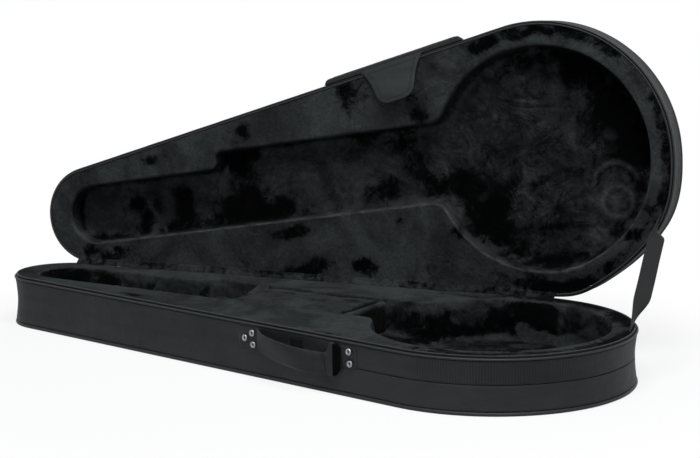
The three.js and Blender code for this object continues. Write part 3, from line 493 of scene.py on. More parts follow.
def nylon_look(name, tone, ribs=True):
    looks = Looks(name)
    place = looks.place()
    streak = looks.cloud(place, 9.0, 4, 0.6, stretch=(1.0, 1.0, 6.0))
    weave = looks.cloud(place, 1400.0, 1)
    shade = looks.varied(looks.cloud(place, 7.0, 3), (0.35, 0.65), tone, 0.86, 1.12)
    shade = looks.shaded(shade, streak, (0.35, 0.86), (0.62, 1.08))
    shade = looks.shaded(shade, weave, (0.3, 0.8), (0.7, 1.15))
    # Darker along lines of stitches, and in the handle's crease as painted shade.
    shade = looks.mix(looks.times(looks.attribute("stitch_and_crease_shade"), 0.85), shade, (0.004, 0.0045, 0.005))
    layers = [(weave, 0.0004), (looks.cloud(place, 22.0, 3), 0.0035)]
    if ribs:
        bars = looks.bars(looks.route(), "X", **{"Scale": 75.0, "Distortion": 1.2, "Detail": 1.0,
                                                 "Detail Scale": 30.0})
        bars = looks.times(bars, looks.attribute("ribs"))
        shade = looks.mix(looks.times(bars, 0.5), shade, (0.005, 0.0055, 0.006))
        layers.append((bars, 0.0005))
    looks.set(Base_Color=shade, Roughness=0.62, Sheen_Weight=0.05, Sheen_Roughness=0.4,
              Specular_IOR_Level=0.14)
    looks.bump(*layers)
    return looks.material


def webbing_look():
    looks = Looks("webbing")
    route = looks.route()
    weave = looks.times(looks.bars(route, "X", Scale=190.0), looks.bars(route, "Y", Scale=150.0))
    drift = looks.cloud(looks.place(), 30.0, 3)
    shade = looks.mix(weave, toned(WEBBING_TONE, 0.7), toned(WEBBING_TONE, 1.25))
    shade = looks.mix(looks.times(drift, 0.35), shade, toned(WEBBING_TONE, 1.5))
    looks.set(Base_Color=shade, Roughness=0.7, Sheen_Weight=0.1, Specular_IOR_Level=0.14)
    looks.bump((weave, 0.0005))
    return looks.material


def plain_look(name, tone, roughness, metallic=0.0, grain=500.0, depth=0.0003, spread=0.15, specular=0.5):
    looks = Looks(name)
    drift = looks.cloud(looks.place(), grain, 3)
    looks.set(Base_Color=looks.varied(drift, (0.3, 0.7), tone, 1 - spread, 1 + spread), Roughness=roughness,
              Metallic=metallic, Specular_IOR_Level=specular)
    looks.bump((drift, depth))
    return looks.material


PLUSH = plush_look()
NYLON = nylon_look("nylon", NYLON_TONE)
NYLON_FLAT = nylon_look("nylon_flat", NYLON_TONE, ribs=False)
# The handle's nylon is a darker copy of the wall's: painted shade, against the light its leaning face
# catches.
HANDLE_NYLON_SHADED = nylon_look("handle_nylon_shaded", toned(NYLON_TONE, 0.72), ribs=False)
PATCH_NYLON = nylon_look("patch_nylon", (0.005, 0.006, 0.0062))
TONGUE = nylon_look("flap_nylon", (0.0165, 0.02, 0.0202), ribs=False)
WEBBING = webbing_look()
PIPING = plain_look("piping", (0.015, 0.017, 0.018), 0.5, grain=260.0, depth=0.0005, specular=0.22)
ZIP = plain_look("zip", (0.022, 0.0245, 0.026), 0.5, grain=700.0, specular=0.3)
TAPE = plain_look("tape", (0.016, 0.018, 0.019), 0.8, grain=900.0, depth=0.0005, specular=0.2)
FOAM = plain_look("foam", (0.03, 0.03, 0.03), 0.9, grain=300.0, depth=0.001)
HOOKS = plain_look("hook_and_loop", (0.007, 0.0075, 0.008), 0.95, grain=1500.0, depth=0.0016, spread=0.5,
                   specular=0.1)
LOOPS = plain_look("loop", (0.0115, 0.0125, 0.0135), 0.95, grain=1500.0, depth=0.0012, spread=0.4,
                   specular=0.1)
# Near black for the end face of the handle's band: a painted shadow in the gap between that end and the wall.
HANDLE_END_SHADOW = plain_look("handle_end_shadow", (0.0015, 0.0016, 0.0018), 0.95, grain=900.0, depth=0.0006,
                        specular=0.05)
NICKEL = plain_look("nickel", (0.25, 0.26, 0.27), 0.36, 1.0, grain=120.0, depth=0.0001, spread=0.06)
DARK_METAL = plain_look("dark_metal", (0.03, 0.03, 0.032), 0.4, 1.0, grain=150.0, depth=0.0002)

# Plush lining

DRUM_RECESS = DRUM_RADIUS - 38.2 * MM
POCKET = HEAD_RADIUS - 32.9 * MM
POCKET_X = HEAD_X + 12.6 * MM
WIDE_SIDE = 78 * MM
STEP_X = DRUM_X - 565.5 * MM
MOUTH_FILLET = 28 * MM
STEP_FILLET = 14 * MM
CORNER = 10 * MM
RIM_ROUNDING = 3.5 * MM
FLOOR_ROUNDING = 9 * MM
LEAN = 1.2 * MM
LINING_EDGE = RIM_EDGE_INSET + 1 * MM
WALL_ROWS = 14
CRUMPLE_DEPTH = 1.6 * MM
DRUM_CRUMPLE_DEPTH = 1.4 * MM
NAP = 1.1 * MM
WALL_SLACK = {"base": 3.4 * MM, "lid": 1.2 * MM}
# Where the pile's outer edge turns down to the zip tape, in mm out and down.
SKIRT = [(0.6, 0.25), (0.95, 0.8), (1, 1.6), (0.7, 2.2)]
STROKE_WANDER = 8 * MM
DARK_STROKES = 1.3
POCKET_ENDS_AT = 350

# Strokes in the pile, by the point of the view where each is seen: x, y, half length and half width
# in mm, and how much it is stroked dark or light. Many dark ones are painted shadow and shade, such as
# the rim's shadow along the top and right of the lid's drum recess and the shade on the pocket's wall.
NAP_AND_SHADE_STROKES = {
    "lid": {
        "channel": [
            (79, 204, 22, 40, -1.6), (74, 225, 22, 22, -1.2), (104, 238, 26, 12, -1.4),
            (124, 238, 24, 12, -1.2), (124, 210, 16, 14, -1.5), (138, 204, 16, 14, -1.4),
            (110, 211, 14, 8, -1.2), (148, 218, 18, 16, -1.3), (158, 206, 14, 14, -1.3),
            (146, 231, 16, 10, -1.2), (183, 194, 20, 18, -1.7), (186, 214, 24, 30, -1.7),
            (176, 230, 30, 16, -1.7), (205, 226, 44, 16, -1.7), (236, 221, 50, 20, -1.7),
            (266, 214, 48, 22, -1.7), (285, 205, 22, 20, -1.6), (250, 196, 34, 20, -1.5),
            (230, 204, 20, 14, -1.3), (234, 156, 40, 16, -1.7), (254, 153, 22, 12, -1.6),
            (248, 175, 30, 14, -1.5), (238, 166, 24, 12, -1.2), (305, 214, 26, 8, -1.0),
            (388, 190, 30, 20, -1.0), (366, 136, 32, 12, -1.1), (405, 140, 30, 22, -1.1),
            (350, 160, 22, 8, -0.6), (420, 165, 26, 30, -1.2), (430, 185, 22, 22, -1.2),
            (330, 205, 30, 8, 0.5), (300, 175, 50, 26, 0.5), (212, 196, 14, 8, 0.8),
            (118, 220, 22, 20, 1.1), (106, 204, 46, 34, 1.7),
        ],
        "drum": [
            (546, 53, 44, 16, -1.7), (578, 62, 46, 26, -1.8), (605, 80, 44, 34, -1.9),
            (625, 100, 40, 40, -1.9), (637, 125, 34, 44, -1.9), (641, 150, 30, 40, -1.9),
            (597, 120, 34, 30, -1.3), (622, 142, 30, 28, -1.4), (518, 62, 30, 14, -1.2),
            (562, 82, 26, 14, -1.0), (487, 208, 40, 36, -1.7), (470, 188, 28, 26, -1.5),
            (496, 228, 30, 26, -1.6), (519, 250, 26, 16, -1.4), (455, 183, 26, 26, -1.5),
            (508, 180, 24, 18, -1.1), (518, 164, 18, 10, -0.9), (546, 262, 56, 12, -1.5),
            (598, 254, 36, 12, -1.4), (622, 232, 20, 16, -1.2), (636, 212, 14, 20, -1.4),
            (641, 190, 12, 20, -1.4), (480, 90, 22, 16, -0.7), (575, 170, 20, 8, -0.8),
            (540, 185, 16, 8, -0.8), (528, 230, 14, 8, -0.7), (556, 226, 22, 5, -1.1),
            (580, 240, 22, 4, -1.0), (618, 200, 26, 26, 0.9), (592, 228, 34, 22, 0.9),
            (520, 140, 34, 22, 0.7), (570, 155, 30, 16, 0.6), (480, 130, 40, 40, 0.4),
            (560, 190, 34, 20, 0.4), (610, 165, 14, 8, 0.4),
        ],
        "rim": [
            (243, 128, 17, 14, -1.7), (246, 135, 9, 10, -1.5), (150, 160, 14, 11, -2.2),
            (92, 250, 22, 14, -1.8), (115, 255, 28, 14, -2.6), (280, 234, 24, 12, -2.0),
            (298, 232, 26, 12, -2.2), (318, 266, 36, 14, -2.4), (300, 271, 30, 9, -2.4),
            (364, 268, 26, 18, -2.6), (352, 97, 30, 34, -1.1), (343, 88, 18, 14, -0.9),
            (413, 106, 30, 24, -1.2), (418, 118, 22, 12, -1.3), (399, 220, 9, 6, -1.2),
            (295, 100, 6, 5, -1.2), (534, 282, 32, 14, -1.8), (578, 282, 32, 10, -1.6),
            (463, 235, 22, 14, -1.7), (480, 247, 16, 10, -1.4), (633, 235, 14, 12, -1.5),
            (605, 267, 14, 10, -1.3), (645, 207, 12, 12, -1.3), (483, 45, 34, 10, -1.4),
            (518, 33, 32, 9, -1.4), (558, 29, 32, 7, -1.4), (621, 49, 24, 8, -1.2), (435, 65, 14, 14, -1.3),
            (662, 95, 14, 44, -1.5), (670, 130, 13, 48, -1.6), (673, 170, 13, 48, -1.6),
            (668, 205, 13, 34, -1.4), (440, 250, 30, 10, 0.6), (456, 62, 26, 14, 0.7),
            (560, 45, 40, 8, 0.6), (250, 95, 60, 16, 0.5), (120, 168, 30, 12, 0.5), (440, 95, 24, 16, 0.4),
        ],
    },
    "base": {
        "channel": [(60, 272, 40, 30, -2.0), (110, 279, 40, 30, -0.8), (380, 322, 50, 60, -2.0)],
        "wall": [
            (48, 268, 40, 40, -2.4), (62, 272, 30, 30, -2.4), (84, 275, 22, 16, -2.0),
            (104, 278, 20, 20, -2.2), (116, 279, 14, 20, -1.6), (150, 286, 30, 10, -1.2),
            (205, 290, 24, 12, -1.6), (225, 287, 20, 10, -1.2), (135, 282, 26, 12, 0.9),
            (180, 284, 26, 12, 0.8), (72, 270, 10, 8, 1.2), (94, 278, 8, 8, 1.4), (366, 308, 30, 30, -2.2),
            (398, 314, 56, 44, -3.0), (394, 328, 44, 30, -2.6), (415, 328, 44, 18, -2.2),
            (440, 328, 40, 16, -2.0), (445, 318, 26, 10, -1.2), (468, 330, 30, 8, -1.4),
            (500, 324, 26, 10, -1.8), (530, 303, 36, 14, -2.2), (545, 310, 26, 12, -2.0),
            (534, 322, 24, 9, -1.6), (552, 326, 14, 12, -1.4), (585, 328, 24, 8, -1.6),
            (600, 318, 26, 14, -0.9), (408, 314, 12, 5, 2.4), (425, 310, 16, 4, 2.2), (402, 326, 8, 4, 1.8),
            (462, 304, 20, 9, 2.2), (478, 310, 16, 8, 2.2), (455, 318, 12, 8, 1.8), (500, 308, 18, 7, 1.8),
            (517, 324, 6, 9, 2.4), (512, 314, 14, 6, 1.2), (562, 319, 5, 10, 2.4), (576, 316, 22, 9, 1.2),
            (545, 296, 18, 4, 1.4),
        ],
        "rim": [
            (420, 291, 40, 14, 0.5), (130, 294, 26, 9, -2.3), (66, 287, 24, 8, -2.2),
            (328, 333, 40, 6, -2.0), (165, 290, 20, 4, -1.2), (30, 272, 30, 14, -1.4),
            (90, 264, 50, 8, -1.2), (215, 281, 60, 4, -1.0), (430, 292, 40, 5, -1.4),
            (545, 298, 60, 14, -1.5), (470, 296, 60, 5, -1.2), (580, 303, 60, 12, -1.3),
            (620, 318, 20, 30, -0.9), (600, 340, 50, 8, -0.8), (370, 336, 40, 5, -0.9),
            (440, 350, 60, 5, -1.4), (520, 352, 60, 5, -1.2), (340, 318, 10, 5, -1.2),
        ],
    },
}
# Strokes in the pile of the neck rest and compartment, given the same way; the dark ones are partly painted
# shadow.
BLOCK_NAP_AND_SHADE_STROKES = [
    (243, 288, 24, 9, -2.2), (262, 291, 20, 7, -1.8), (250, 296, 16, 5, 1.2), (335, 294, 30, 6, -2.2),
    (300, 297, 40, 6, -0.9), (352, 300, 16, 10, -2.2), (375, 303, 20, 8, -1.6), (285, 292, 20, 5, -1.2),
    (320, 305, 30, 5, -0.8),
]
# Rings pressed in the lid's pile: x and y of the view, radius and width in mm, from and to degrees,
# and how much each is pressed dark or worn light.
DARK_RINGS = [(618, 201, 17, 4, 0, 360, -1.1), (616, 186, 31, 3.4, 10, 170, -1.0)]
WORN_RINGS = [(618, 201, 24, 3.2, 0, 360, 0.5), (618, 201, 0, 10, 0, 360, 0.22),
              (616, 186, 37, 3.2, 10, 170, 0.3)]


def view_axes():
    yaw, pitch, roll = (math.radians(v) for v in VIEW_ANGLES)
    forward = Vector((math.sin(yaw) * math.cos(pitch), math.cos(yaw) * math.cos(pitch), math.sin(pitch)))
    right = Vector((math.cos(yaw), -math.sin(yaw), 0))
    up = right.cross(forward)
    return forward, right * math.cos(roll) + up * math.sin(roll), up * math.cos(roll) - right * math.sin(roll)


def sight(x, y):
    """Direction of the sight line through a point of the view."""
    forward, right, up = (np.array(v) for v in view_axes())
    return forward + right * (x - VIEW_MIDDLE[0]) / VIEW_FOCAL - up * (y - VIEW_MIDDLE[1]) / VIEW_FOCAL


def seen(x, y, half, height):
    """Where the sight line through a point of the view meets a level of a half, in that half's plan."""
    back = np.linalg.inv(PLACE[half])
    eye = back[:3, :3] @ np.array(EYE) + back[:3, 3]
    way = back[:3, :3] @ sight(x, y)
    return (eye + way * (height - eye[2]) / way[2])[:2]


def seen_on_wall(x, y):
    """Where the sight line through a point of the view meets the far wall of the base's recess."""
    eye = np.array(EYE)
    way = sight(x, y)
    place = eye + way * (POCKET - eye[1]) / way[1]
    if x < POCKET_ENDS_AT and place[0] > POCKET_X:
        return place
    centre, radius = (POCKET_X, POCKET) if x < POCKET_ENDS_AT else (DRUM_X, DRUM_RECESS)
    gap = eye[:2] - (centre, 0)
    a, b, c = way[:2] @ way[:2], gap @ way[:2], gap @ gap - radius ** 2
    return eye + way * (-b + math.sqrt(max(b * b - a * c, 0))) / a


def stroked(solid, strokes, half, level):
    """The sum of strokes with torn edges, on a level of a half or, without one, on its far wall."""
    ragged = np.column_stack([waves(solid, 55 * MM, seed, 5) for seed in (61, 67, 71)]) * STROKE_WANDER
    total = np.zeros(len(solid))
    for x, y, along, across, amount in strokes:
        torn = solid + ragged * min(1, (along + across) / 50)
        if level is None:
            gap = torn - seen_on_wall(x, y)
            away = np.hypot(np.hypot(gap[:, 0], gap[:, 1]) / along, gap[:, 2] / across) / MM
        else:
            gap = torn[:, :2] - seen(x, y, half, level)
            away = np.hypot(gap[:, 0] / along, gap[:, 1] / across) / MM
        strength = DARK_STROKES if amount < 0 else 1
        total += strength * amount * (1 - smooth(away, 0.15, 1.5))
    return total


def pressed(solid, half, marks):
    """The sum of rings pressed in the drum's floor."""
    total = np.zeros(len(solid))
    for x, y, radius, width, start, end, amount in marks if half == "lid" else []:
        place = seen(x, y, half, HALVES[half]["drum_floor"])
        dx, dy = solid[:, 0] - place[0], solid[:, 1] - place[1]
        angle = np.degrees(np.arctan2(dy, dx)) % 360
        line = np.exp(-((np.hypot(dx, dy) - radius * MM) / (width * MM)) ** 2)
        total += amount * line * ((angle >= start) & (angle <= end))
    return total


def nap_and_painted_shade(solid, half, deep):
    """Which way the pile was last stroked, with painted shade and shadows laid over it: dark below 0 and
    light above it.
    """
    sizes = HALVES[half]
    plain = 0.45 if half == "lid" else 0.8 - 1.1 * smooth(solid[:, 0], 250 * MM, 330 * MM)
    nap_and_shade = smooth(-deep, 0, 10 * MM) * plain
    levels = {"rim": sizes["depth"] - RIM_SETBACK, "channel": sizes["channel_floor"],
              "drum": sizes["drum_floor"]}
    for level, strokes in NAP_AND_SHADE_STROKES[half].items():
        here = smooth(-deep if level == "rim" else deep, -1 * MM, 1 * MM)
        nap_and_shade = nap_and_shade + here * stroked(solid, strokes, half, levels.get(level))
    return nap_and_shade + pressed(solid, half, DARK_RINGS)


def recess_outline(grow):
    """Edge of the recess, with every side moved out by grow, as points about 5 mm apart."""
    drum, pocket, wide = DRUM_RECESS + grow, POCKET + grow, WIDE_SIDE + grow
    fillet, step, corner, end_x = MOUTH_FILLET - grow, STEP_FILLET - grow, CORNER + grow, STEP_X - grow
    narrow_x = DRUM_X - math.sqrt((drum + fillet) ** 2 - (pocket + fillet) ** 2)
    wide_x = DRUM_X - math.sqrt((drum + fillet) ** 2 - (wide + fillet) ** 2)
    narrow = math.atan2(pocket + fillet, DRUM_X - narrow_x)
    broad = math.atan2(wide + fillet, DRUM_X - wide_x)
    return joined([
        bow(narrow_x, -pocket - fillet, fillet, TURN, narrow, least=6),
        bow(DRUM_X, 0, drum, narrow - math.pi, math.pi - broad, least=90)[1:-1],
        bow(wide_x, wide + fillet, fillet, -broad, -TURN, least=6),
        bow(end_x + corner, wide - corner, corner, TURN, math.pi, least=6),
        bow(end_x - step, pocket + step, step, 0, -TURN, least=6),
        bow(POCKET_X, 0, pocket, TURN, 3 * TURN, least=30),
    ], 5 * MM)


def depth_in(points, ring):
    """Distance to a closed ring, positive inside it."""
    x, y = points[:, 0:1], points[:, 1:2]
    x0, y0 = ring[:, 0], ring[:, 1]
    x1, y1 = np.roll(x0, -1), np.roll(y0, -1)
    crosses = (y0 > y) != (y1 > y)
    rise = np.where(y1 == y0, 1.0, y1 - y0)
    inside = (np.sum(crosses & (x < (x1 - x0) * (y - y0) / rise + x0), axis=1) % 2) == 1
    distance = np.min(np.linalg.norm(points[:, None] - ring[None], axis=2), axis=1)
    return np.where(inside, distance, -distance)


def ring_normals(ring):
    """Directions across a closed ring, inwards."""
    along = np.roll(ring, -1, axis=0) - np.roll(ring, 1, axis=0)
    along /= np.linalg.norm(along, axis=1)[:, None]
    return np.column_stack([-along[:, 1], along[:, 0]])


def grid_points(step, seed):
    x = np.arange(-TOTAL_LENGTH / 2, TOTAL_LENGTH / 2, step)
    y = np.arange(-DRUM_RADIUS, DRUM_RADIUS, step)
    grid = np.stack(np.meshgrid(x, y), 2).reshape(-1, 2)
    grid[:, 0] += (np.round((grid[:, 1] + DRUM_RADIUS) / step) % 2) * step / 2
    return grid + np.random.default_rng(seed).uniform(-0.2, 0.2, grid.shape) * step


def filled(rings, loose, boundary, held=0):
    """Triangles over a boundary, rings of points, the first of them with their edges, and loose points.
    Also which given point each point is, and where each given point ended up."""
    points = np.vstack([boundary, *rings, loose])
    edges, start = [], 0
    for ring in [boundary, *rings[:held]]:
        count = len(ring)
        edges += [(start + i, start + (i + 1) % count) for i in range(count)]
        start += count
    result = delaunay_2d_cdt([Vector(p) for p in points], edges, [], 1, 1e-7)
    source = np.array([origin[0] for origin in result[3]])
    place = {int(value): i for i, value in reversed(list(enumerate(source)))}
    return points[source], [tuple(f) for f in result[2]], source, place


def recess_mesh(half):
    """The lining's plan: points, faces, how deep each point lies in the recess, its way inwards, and
    the points of the outer edge."""
    nominal = recess_outline(0)
    across = ring_normals(nominal)
    count = len(nominal)
    grows = [0, -LEAN] + [RIM_ROUNDING * share for share in (0.2, 0.4, 0.6, 0.8, 1.0, 1.2, 1.5, 1.9, 2.6)]
    grows += [-LEAN - FLOOR_ROUNDING * share for share in (0.06, 0.15, 0.3)]
    held = len(grows)
    rings = [nominal - across * grow for grow in grows]
    grows += [-LEAN - FLOOR_ROUNDING * share for share in (0.5, 0.75, 1.0, 1.35)]
    rings += [recess_outline(grow) for grow in grows[held:]]
    boundary = plan_ring(-LINING_EDGE)
    grid = grid_points(4.2 * MM, 3 if half == "base" else 4)
    grid_depth = depth_in(grid, nominal)
    keep = (grid_depth > LEAN + 1.5 * FLOOR_ROUNDING) | (grid_depth < -3.2 * RIM_ROUNDING)
    keep &= depth_in(grid, boundary) > 2.5 * MM
    flat, faces, source, place = filled(rings, grid[keep], boundary, held)
    edge_count = len(boundary)
    is_wall = (source >= edge_count) & (source < edge_count + 2 * count)
    faces = [face for face in faces if not all(is_wall[i] for i in face)]
    deep = np.concatenate([depth_in(boundary, nominal)]
                          + [np.full(len(ring), -grow) for grow, ring in zip(grows, rings)]
                          + [grid_depth[keep]])[source]
    inward = np.vstack([boundary * 0] + [ring_normals(ring) for ring in rings] + [grid[keep] * 0])[source]

    # The wall between the rim and the floor is a strip of its own.
    previous = [place[edge_count + i] for i in range(count)]
    for row in range(1, WALL_ROWS):
        share = row / WALL_ROWS
        current = range(len(flat), len(flat) + count)
        flat = np.vstack([flat, nominal + across * LEAN * share])
        deep = np.append(deep, np.full(count, LEAN * share))
        inward = np.vstack([inward, across])
        faces += band(previous, current)
        previous = current
    faces += band(previous, [place[edge_count + count + i] for i in range(count)])
    return flat, faces, deep, inward, [place[i] for i in range(edge_count)]


def recess_height(flat, deep, sizes, in_drum):
    """Height of the lining: rounded rim, leaning wall, rounded foot and the floor of drum or channel."""
    rim = sizes["depth"] - RIM_SETBACK
    floor = sizes["channel_floor"] + (sizes["drum_floor"] - sizes["channel_floor"]) * in_drum
    rolled = np.clip(deep + RIM_ROUNDING, 0, RIM_ROUNDING)
    z = rim - RIM_ROUNDING + np.sqrt(np.maximum(RIM_ROUNDING ** 2 - rolled ** 2, 0))
    wall = np.clip(deep / LEAN, 0, 1)
    z = np.where(deep > 0, rim - RIM_ROUNDING + (floor + FLOOR_ROUNDING - rim + RIM_ROUNDING) * wall, z)
    foot = np.clip(deep - LEAN, 0, FLOOR_ROUNDING)
    curve = FLOOR_ROUNDING - np.sqrt(np.maximum(FLOOR_ROUNDING ** 2 - (FLOOR_ROUNDING - foot) ** 2, 0))
    return np.where(deep > LEAN, floor + curve, z)


def lining(half):
    sizes = HALVES[half]
    is_base = half == "base"
    flat, faces, deep, inward, edge = recess_mesh(half)
    radial = np.hypot(flat[:, 0] - DRUM_X, flat[:, 1])
    in_drum = 1 - smooth(radial, DRUM_RECESS - 14 * MM, DRUM_RECESS + 4 * MM)
    in_outer_drum = smooth(flat[:, 0], DRUM_X - 150 * MM, DRUM_X - 60 * MM)
    solid = np.column_stack([flat, recess_height(flat, deep, sizes, in_drum)])
    on_floor = smooth(deep, LEAN + 0.4 * FLOOR_ROUNDING, LEAN + 2.2 * FLOOR_ROUNDING)
    on_wall = smooth(deep, 0, 0.25 * LEAN) * (1 - smooth(deep, LEAN, LEAN + FLOOR_ROUNDING))
    on_rim = smooth(-deep, 0.8 * RIM_ROUNDING, 3 * RIM_ROUNDING)
    edge_band = np.exp(-((deep + 0.4 * RIM_ROUNDING) / (0.5 * RIM_ROUNDING)) ** 2)

    # Slack and crumples
    seed = 11 if is_base else 23
    crumple = ridges(solid, 70 * MM, seed)
    still = solid.copy()
    solid[:, 2] += on_floor * crumple * (CRUMPLE_DEPTH + DRUM_CRUMPLE_DEPTH * in_drum)
    solid[:, 2] += on_rim * (waves(still, 150 * MM, 5) - 0.6) * 0.4 * MM
    facet, from_fold = facets(still * (1, 1, 0.8), 44 * MM, seed)
    solid[:, :2] += inward * (on_wall * (from_fold - 0.2) * WALL_SLACK[half])[:, None]
    solid[:, 2] += edge_band * ridges(still, 14 * MM, seed + 4) * NAP
    if is_base:
        angle = np.degrees(np.arctan2(flat[:, 1], flat[:, 0] - DRUM_X))
        solid[:, 2] += 1.5 * MM * on_rim * np.exp(-((angle - 82) / 16) ** 2) * smooth(-deep, 10 * MM, 20 * MM)

    # How the pile lies and where it is worn, with painted highlights, shade and shadows
    # Painted highlight along the recess's edge, strongest where the edge faces up, and on the crests of the
    # floor's crumples; rings pressed in the pile are worn lighter.
    below = smooth(inward[:, 1], -0.2, 0.5) if is_base else smooth(inward[:, 1], -0.1, 0.4)
    ragged = np.clip(0.5 + 0.8 * waves(still, 36 * MM, 31), 0, 1)
    highlight_and_wear = edge_band * ragged * (0.1 + 0.9 * below)
    highlight_and_wear += 0.3 * on_floor * in_drum * smooth(crumple, 0.1, 0.4) * ragged
    highlight_and_wear += pressed(still, half, WORN_RINGS)
    # Painted shade: the outer band of the drum's rim is darker than the inner band, whose rounding catches
    # the light.
    outer_band = in_outer_drum * smooth(-deep, 12 * MM, 19 * MM)
    # Floors and walls of the recess are darkened, for crushed pile and as painted shade.
    crush_and_shade = np.clip(on_floor * (0.5 + 0.5 * in_drum) + 0.55 * on_wall, 0, 1)
    nap_and_shade = nap_and_painted_shade(still, half, deep) - outer_band * (1.15 + 0.8 * waves(still, 60 * MM, 41))
    if is_base:
        # In the base, the facets of the crumpled walls and floor are painted light and dark: painted light
        # and shade on the folds.
        nap_and_shade += (on_wall * (0.35 + 0.65 * in_outer_drum) + 0.6 * on_floor) * (facet * 2.6 - 1.9)
        nap_and_shade += 0.6 * crush_and_shade * (1 - in_outer_drum)
    else:
        # The lid's upper recess walls, which face down, are painted dark: painted shade.
        above = smooth(-inward[:, 1], -0.1, 0.4)
        nap_and_shade -= 1.3 * on_wall * above * smooth(np.abs(inward).sum(axis=1), 0.1, 0.5)
    nap_and_shade = np.clip(nap_and_shade, -2, 2)

    for out, drop in SKIRT:
        ring = plan_ring(out * MM - LINING_EDGE)
        current = range(len(solid), len(solid) + len(ring))
        faces += band(edge, current)
        edge = current
        level = np.full(len(ring), sizes["depth"] - RIM_SETBACK - drop * MM)
        solid = np.vstack([solid, np.column_stack([ring, level])])
    more = (0, len(solid) - len(nap_and_shade))
    piece = mesh_piece(f"{half}_lining", carried(solid, half), faces, PLUSH, attributes={
        "edge": np.pad(highlight_and_wear, more), "crush_and_shade": np.pad(crush_and_shade, more),
        "nap_and_shade": np.pad(nap_and_shade, more, constant_values=-0.4)})
    flip_to(piece.data, PLACE[half][:3, 2])
    placed(piece, half, [f"{half}_plush_lining"])


def flip_to(mesh, direction):
    """Turns an open surface's faces to look along a direction."""
    total = sum((p.normal * p.area for p in mesh.polygons), Vector())
    if total.dot(Vector(direction)) < 0:
        mesh.flip_normals()


# Shell of a half

SEAM_GAP = 0.5 * MM
SEAM_SHOWS = HINGE.x * math.cos(TAPER) + HINGE.y * math.sin(TAPER) + 735 * MM
COVER_ROWS = 15
RIBS_FADE_IN = (-97, -88)
RIBS_FADE_OUT = (-30, -12)
PANEL = 1.6 * MM


def wall_out(z, half):
    """How far the cover stands out at a height: drawn in between its two beads."""
    depth, draw = HALVES[half]["depth"], HALVES[half]["draw"]
    foot, head = 2 * EDGE_BEAD, depth - RIM_BEAD_DROP - RIM_BEAD
    share = np.clip((z - foot) / (head - foot), 0, 1)
    return -COVER_INSET - draw * np.sin(math.pi * share)


def cover_section(low, high, half):
    z = np.concatenate([[low, low + 0.7 * MM, low + 1.8 * MM],
                        np.linspace(low + 4 * MM, high - 4 * MM, COVER_ROWS - 6),
                        [high - 1.8 * MM, high - 0.7 * MM, high]])
    out = wall_out(z, half)
    tuck = np.zeros(len(z))
    tuck[[0, -1]] = 1.7 * MM
    tuck[[1, -2]] = 0.5 * MM
    face = np.stack([out - tuck, z], 1)
    back = np.stack([out[::-1] - COVER, z[::-1]], 1)
    return np.vstack([face, back[[0, len(z) // 2, -1]]])


def rippled(depth_mm, size, seed, seam=None):
    """A shape that lets a cover wander in and out a little. Seam, 1 or -1, says that its first or last
    row lies at the seam, which is pulled flat along the wall beside the handle."""
    def shape(points, route):
        push = waves(points.reshape(-1, 3) * (1, 1, 2), size, seed) * depth_mm * MM
        push = push.reshape(points.shape[:2])
        if seam is not None:
            along = route[:, 0] * math.cos(TAPER) - route[:, 1] * math.sin(TAPER)
            ironed = (route[:, 1] < 0) * (1 - smooth(along, SEAM_SHOWS - 8 * MM, SEAM_SHOWS + 8 * MM))
            edge = 0 if seam > 0 else COVER_ROWS - 1
            for row, share in ((edge, 1.7), (edge + seam, 0.5)):
                push[:, row] += share * MM * ironed
            points[:, edge, 2] -= seam * 0.2 * MM * ironed
        points[:, :, 0] += route[:, 2:3] * push
        points[:, :, 1] += route[:, 3:4] * push
        return points
    return shape


def shell(half):
    depth = HALVES[half]["depth"]
    foot, head = 2 * EDGE_BEAD + GAP, depth - RIM_BEAD_DROP - RIM_BEAD - GAP
    fine = plan(7 * MM)
    for bead, section, shape in (
        ("edge", circle(EDGE_BEAD, 14, -EDGE_BEAD, EDGE_BEAD), rippled(0.14, 50 * MM, 7)),
        ("rim", circle(RIM_BEAD, 12, -RIM_BEAD, depth - RIM_BEAD_DROP), rippled(0.12, 45 * MM, 8)),
    ):
        piece = swept(f"{half}_{bead}_bead", fine, section, PIPING, half=half, shape=shape)
        placed(piece, half, [f"{half}_{bead}_piping"])
    bands = [("wall_cover", foot, head, None, NYLON_FLAT)]
    if half == "base":
        bands = [("lower_wall_cover", foot, (depth - SEAM_GAP) / 2, -1, NYLON_FLAT),
                 ("upper_wall_cover", (depth + SEAM_GAP) / 2, head, 1, NYLON)]
    for name, low, high, seam, look in bands:
        cover = swept(f"{half}_{name}_cloth", fine, cover_section(low, high, half), look, half=half,
                      shape=rippled(0.5, 130 * MM, len(name), seam))
        soft_edges(cover, 60)
        if look is NYLON:
            places = corners(cover.data)
            angle = np.degrees(np.arctan2(places[:, 1], places[:, 0] - DRUM_X))
            ribs = smooth(angle, *RIBS_FADE_IN) * (1 - smooth(angle, *RIBS_FADE_OUT))
            add_attribute(cover.data, "ribs", ribs)
        placed(cover, half, [f"{half}_{name}"])


def outer_panel(half):
    boundary = plan_ring(-2 * EDGE_BEAD - GAP)
    grid = grid_points(14 * MM, 9)
    flat, faces, _, place = filled([], grid[depth_in(grid, boundary) > 6 * MM], boundary)
    outer = np.column_stack([flat, 0.5 * MM * (1 - smooth(depth_in(flat, boundary), 0, 30 * MM))])
    inner = np.column_stack([flat, np.full(len(flat), PANEL)])
    every = both_sides(faces, len(flat), [place[i] for i in range(len(boundary))])
    panel = mesh_piece(f"{half}_outer_cloth", carried(np.vstack([outer, inner]), half), every, NYLON_FLAT)
    soft_edges(panel, 50)
    placed(panel, half, [f"{half}_outer_panel"])


# Zip: woven tape, and a coil of teeth along its edge

TOOTH_PITCH = 2.4 * MM
TOOTH_HEIGHT = 2.6 * MM
TOOTH_SETBACK = 0.8 * MM
# Rings of a tooth: how far along in mm, and their size as a share of the tooth's.
TOOTH_RINGS = [(-0.78, 0.7), (-0.45, 1.0), (0.45, 1.0), (0.78, 0.7)]
TAPE_BELOW = 5.2 * MM


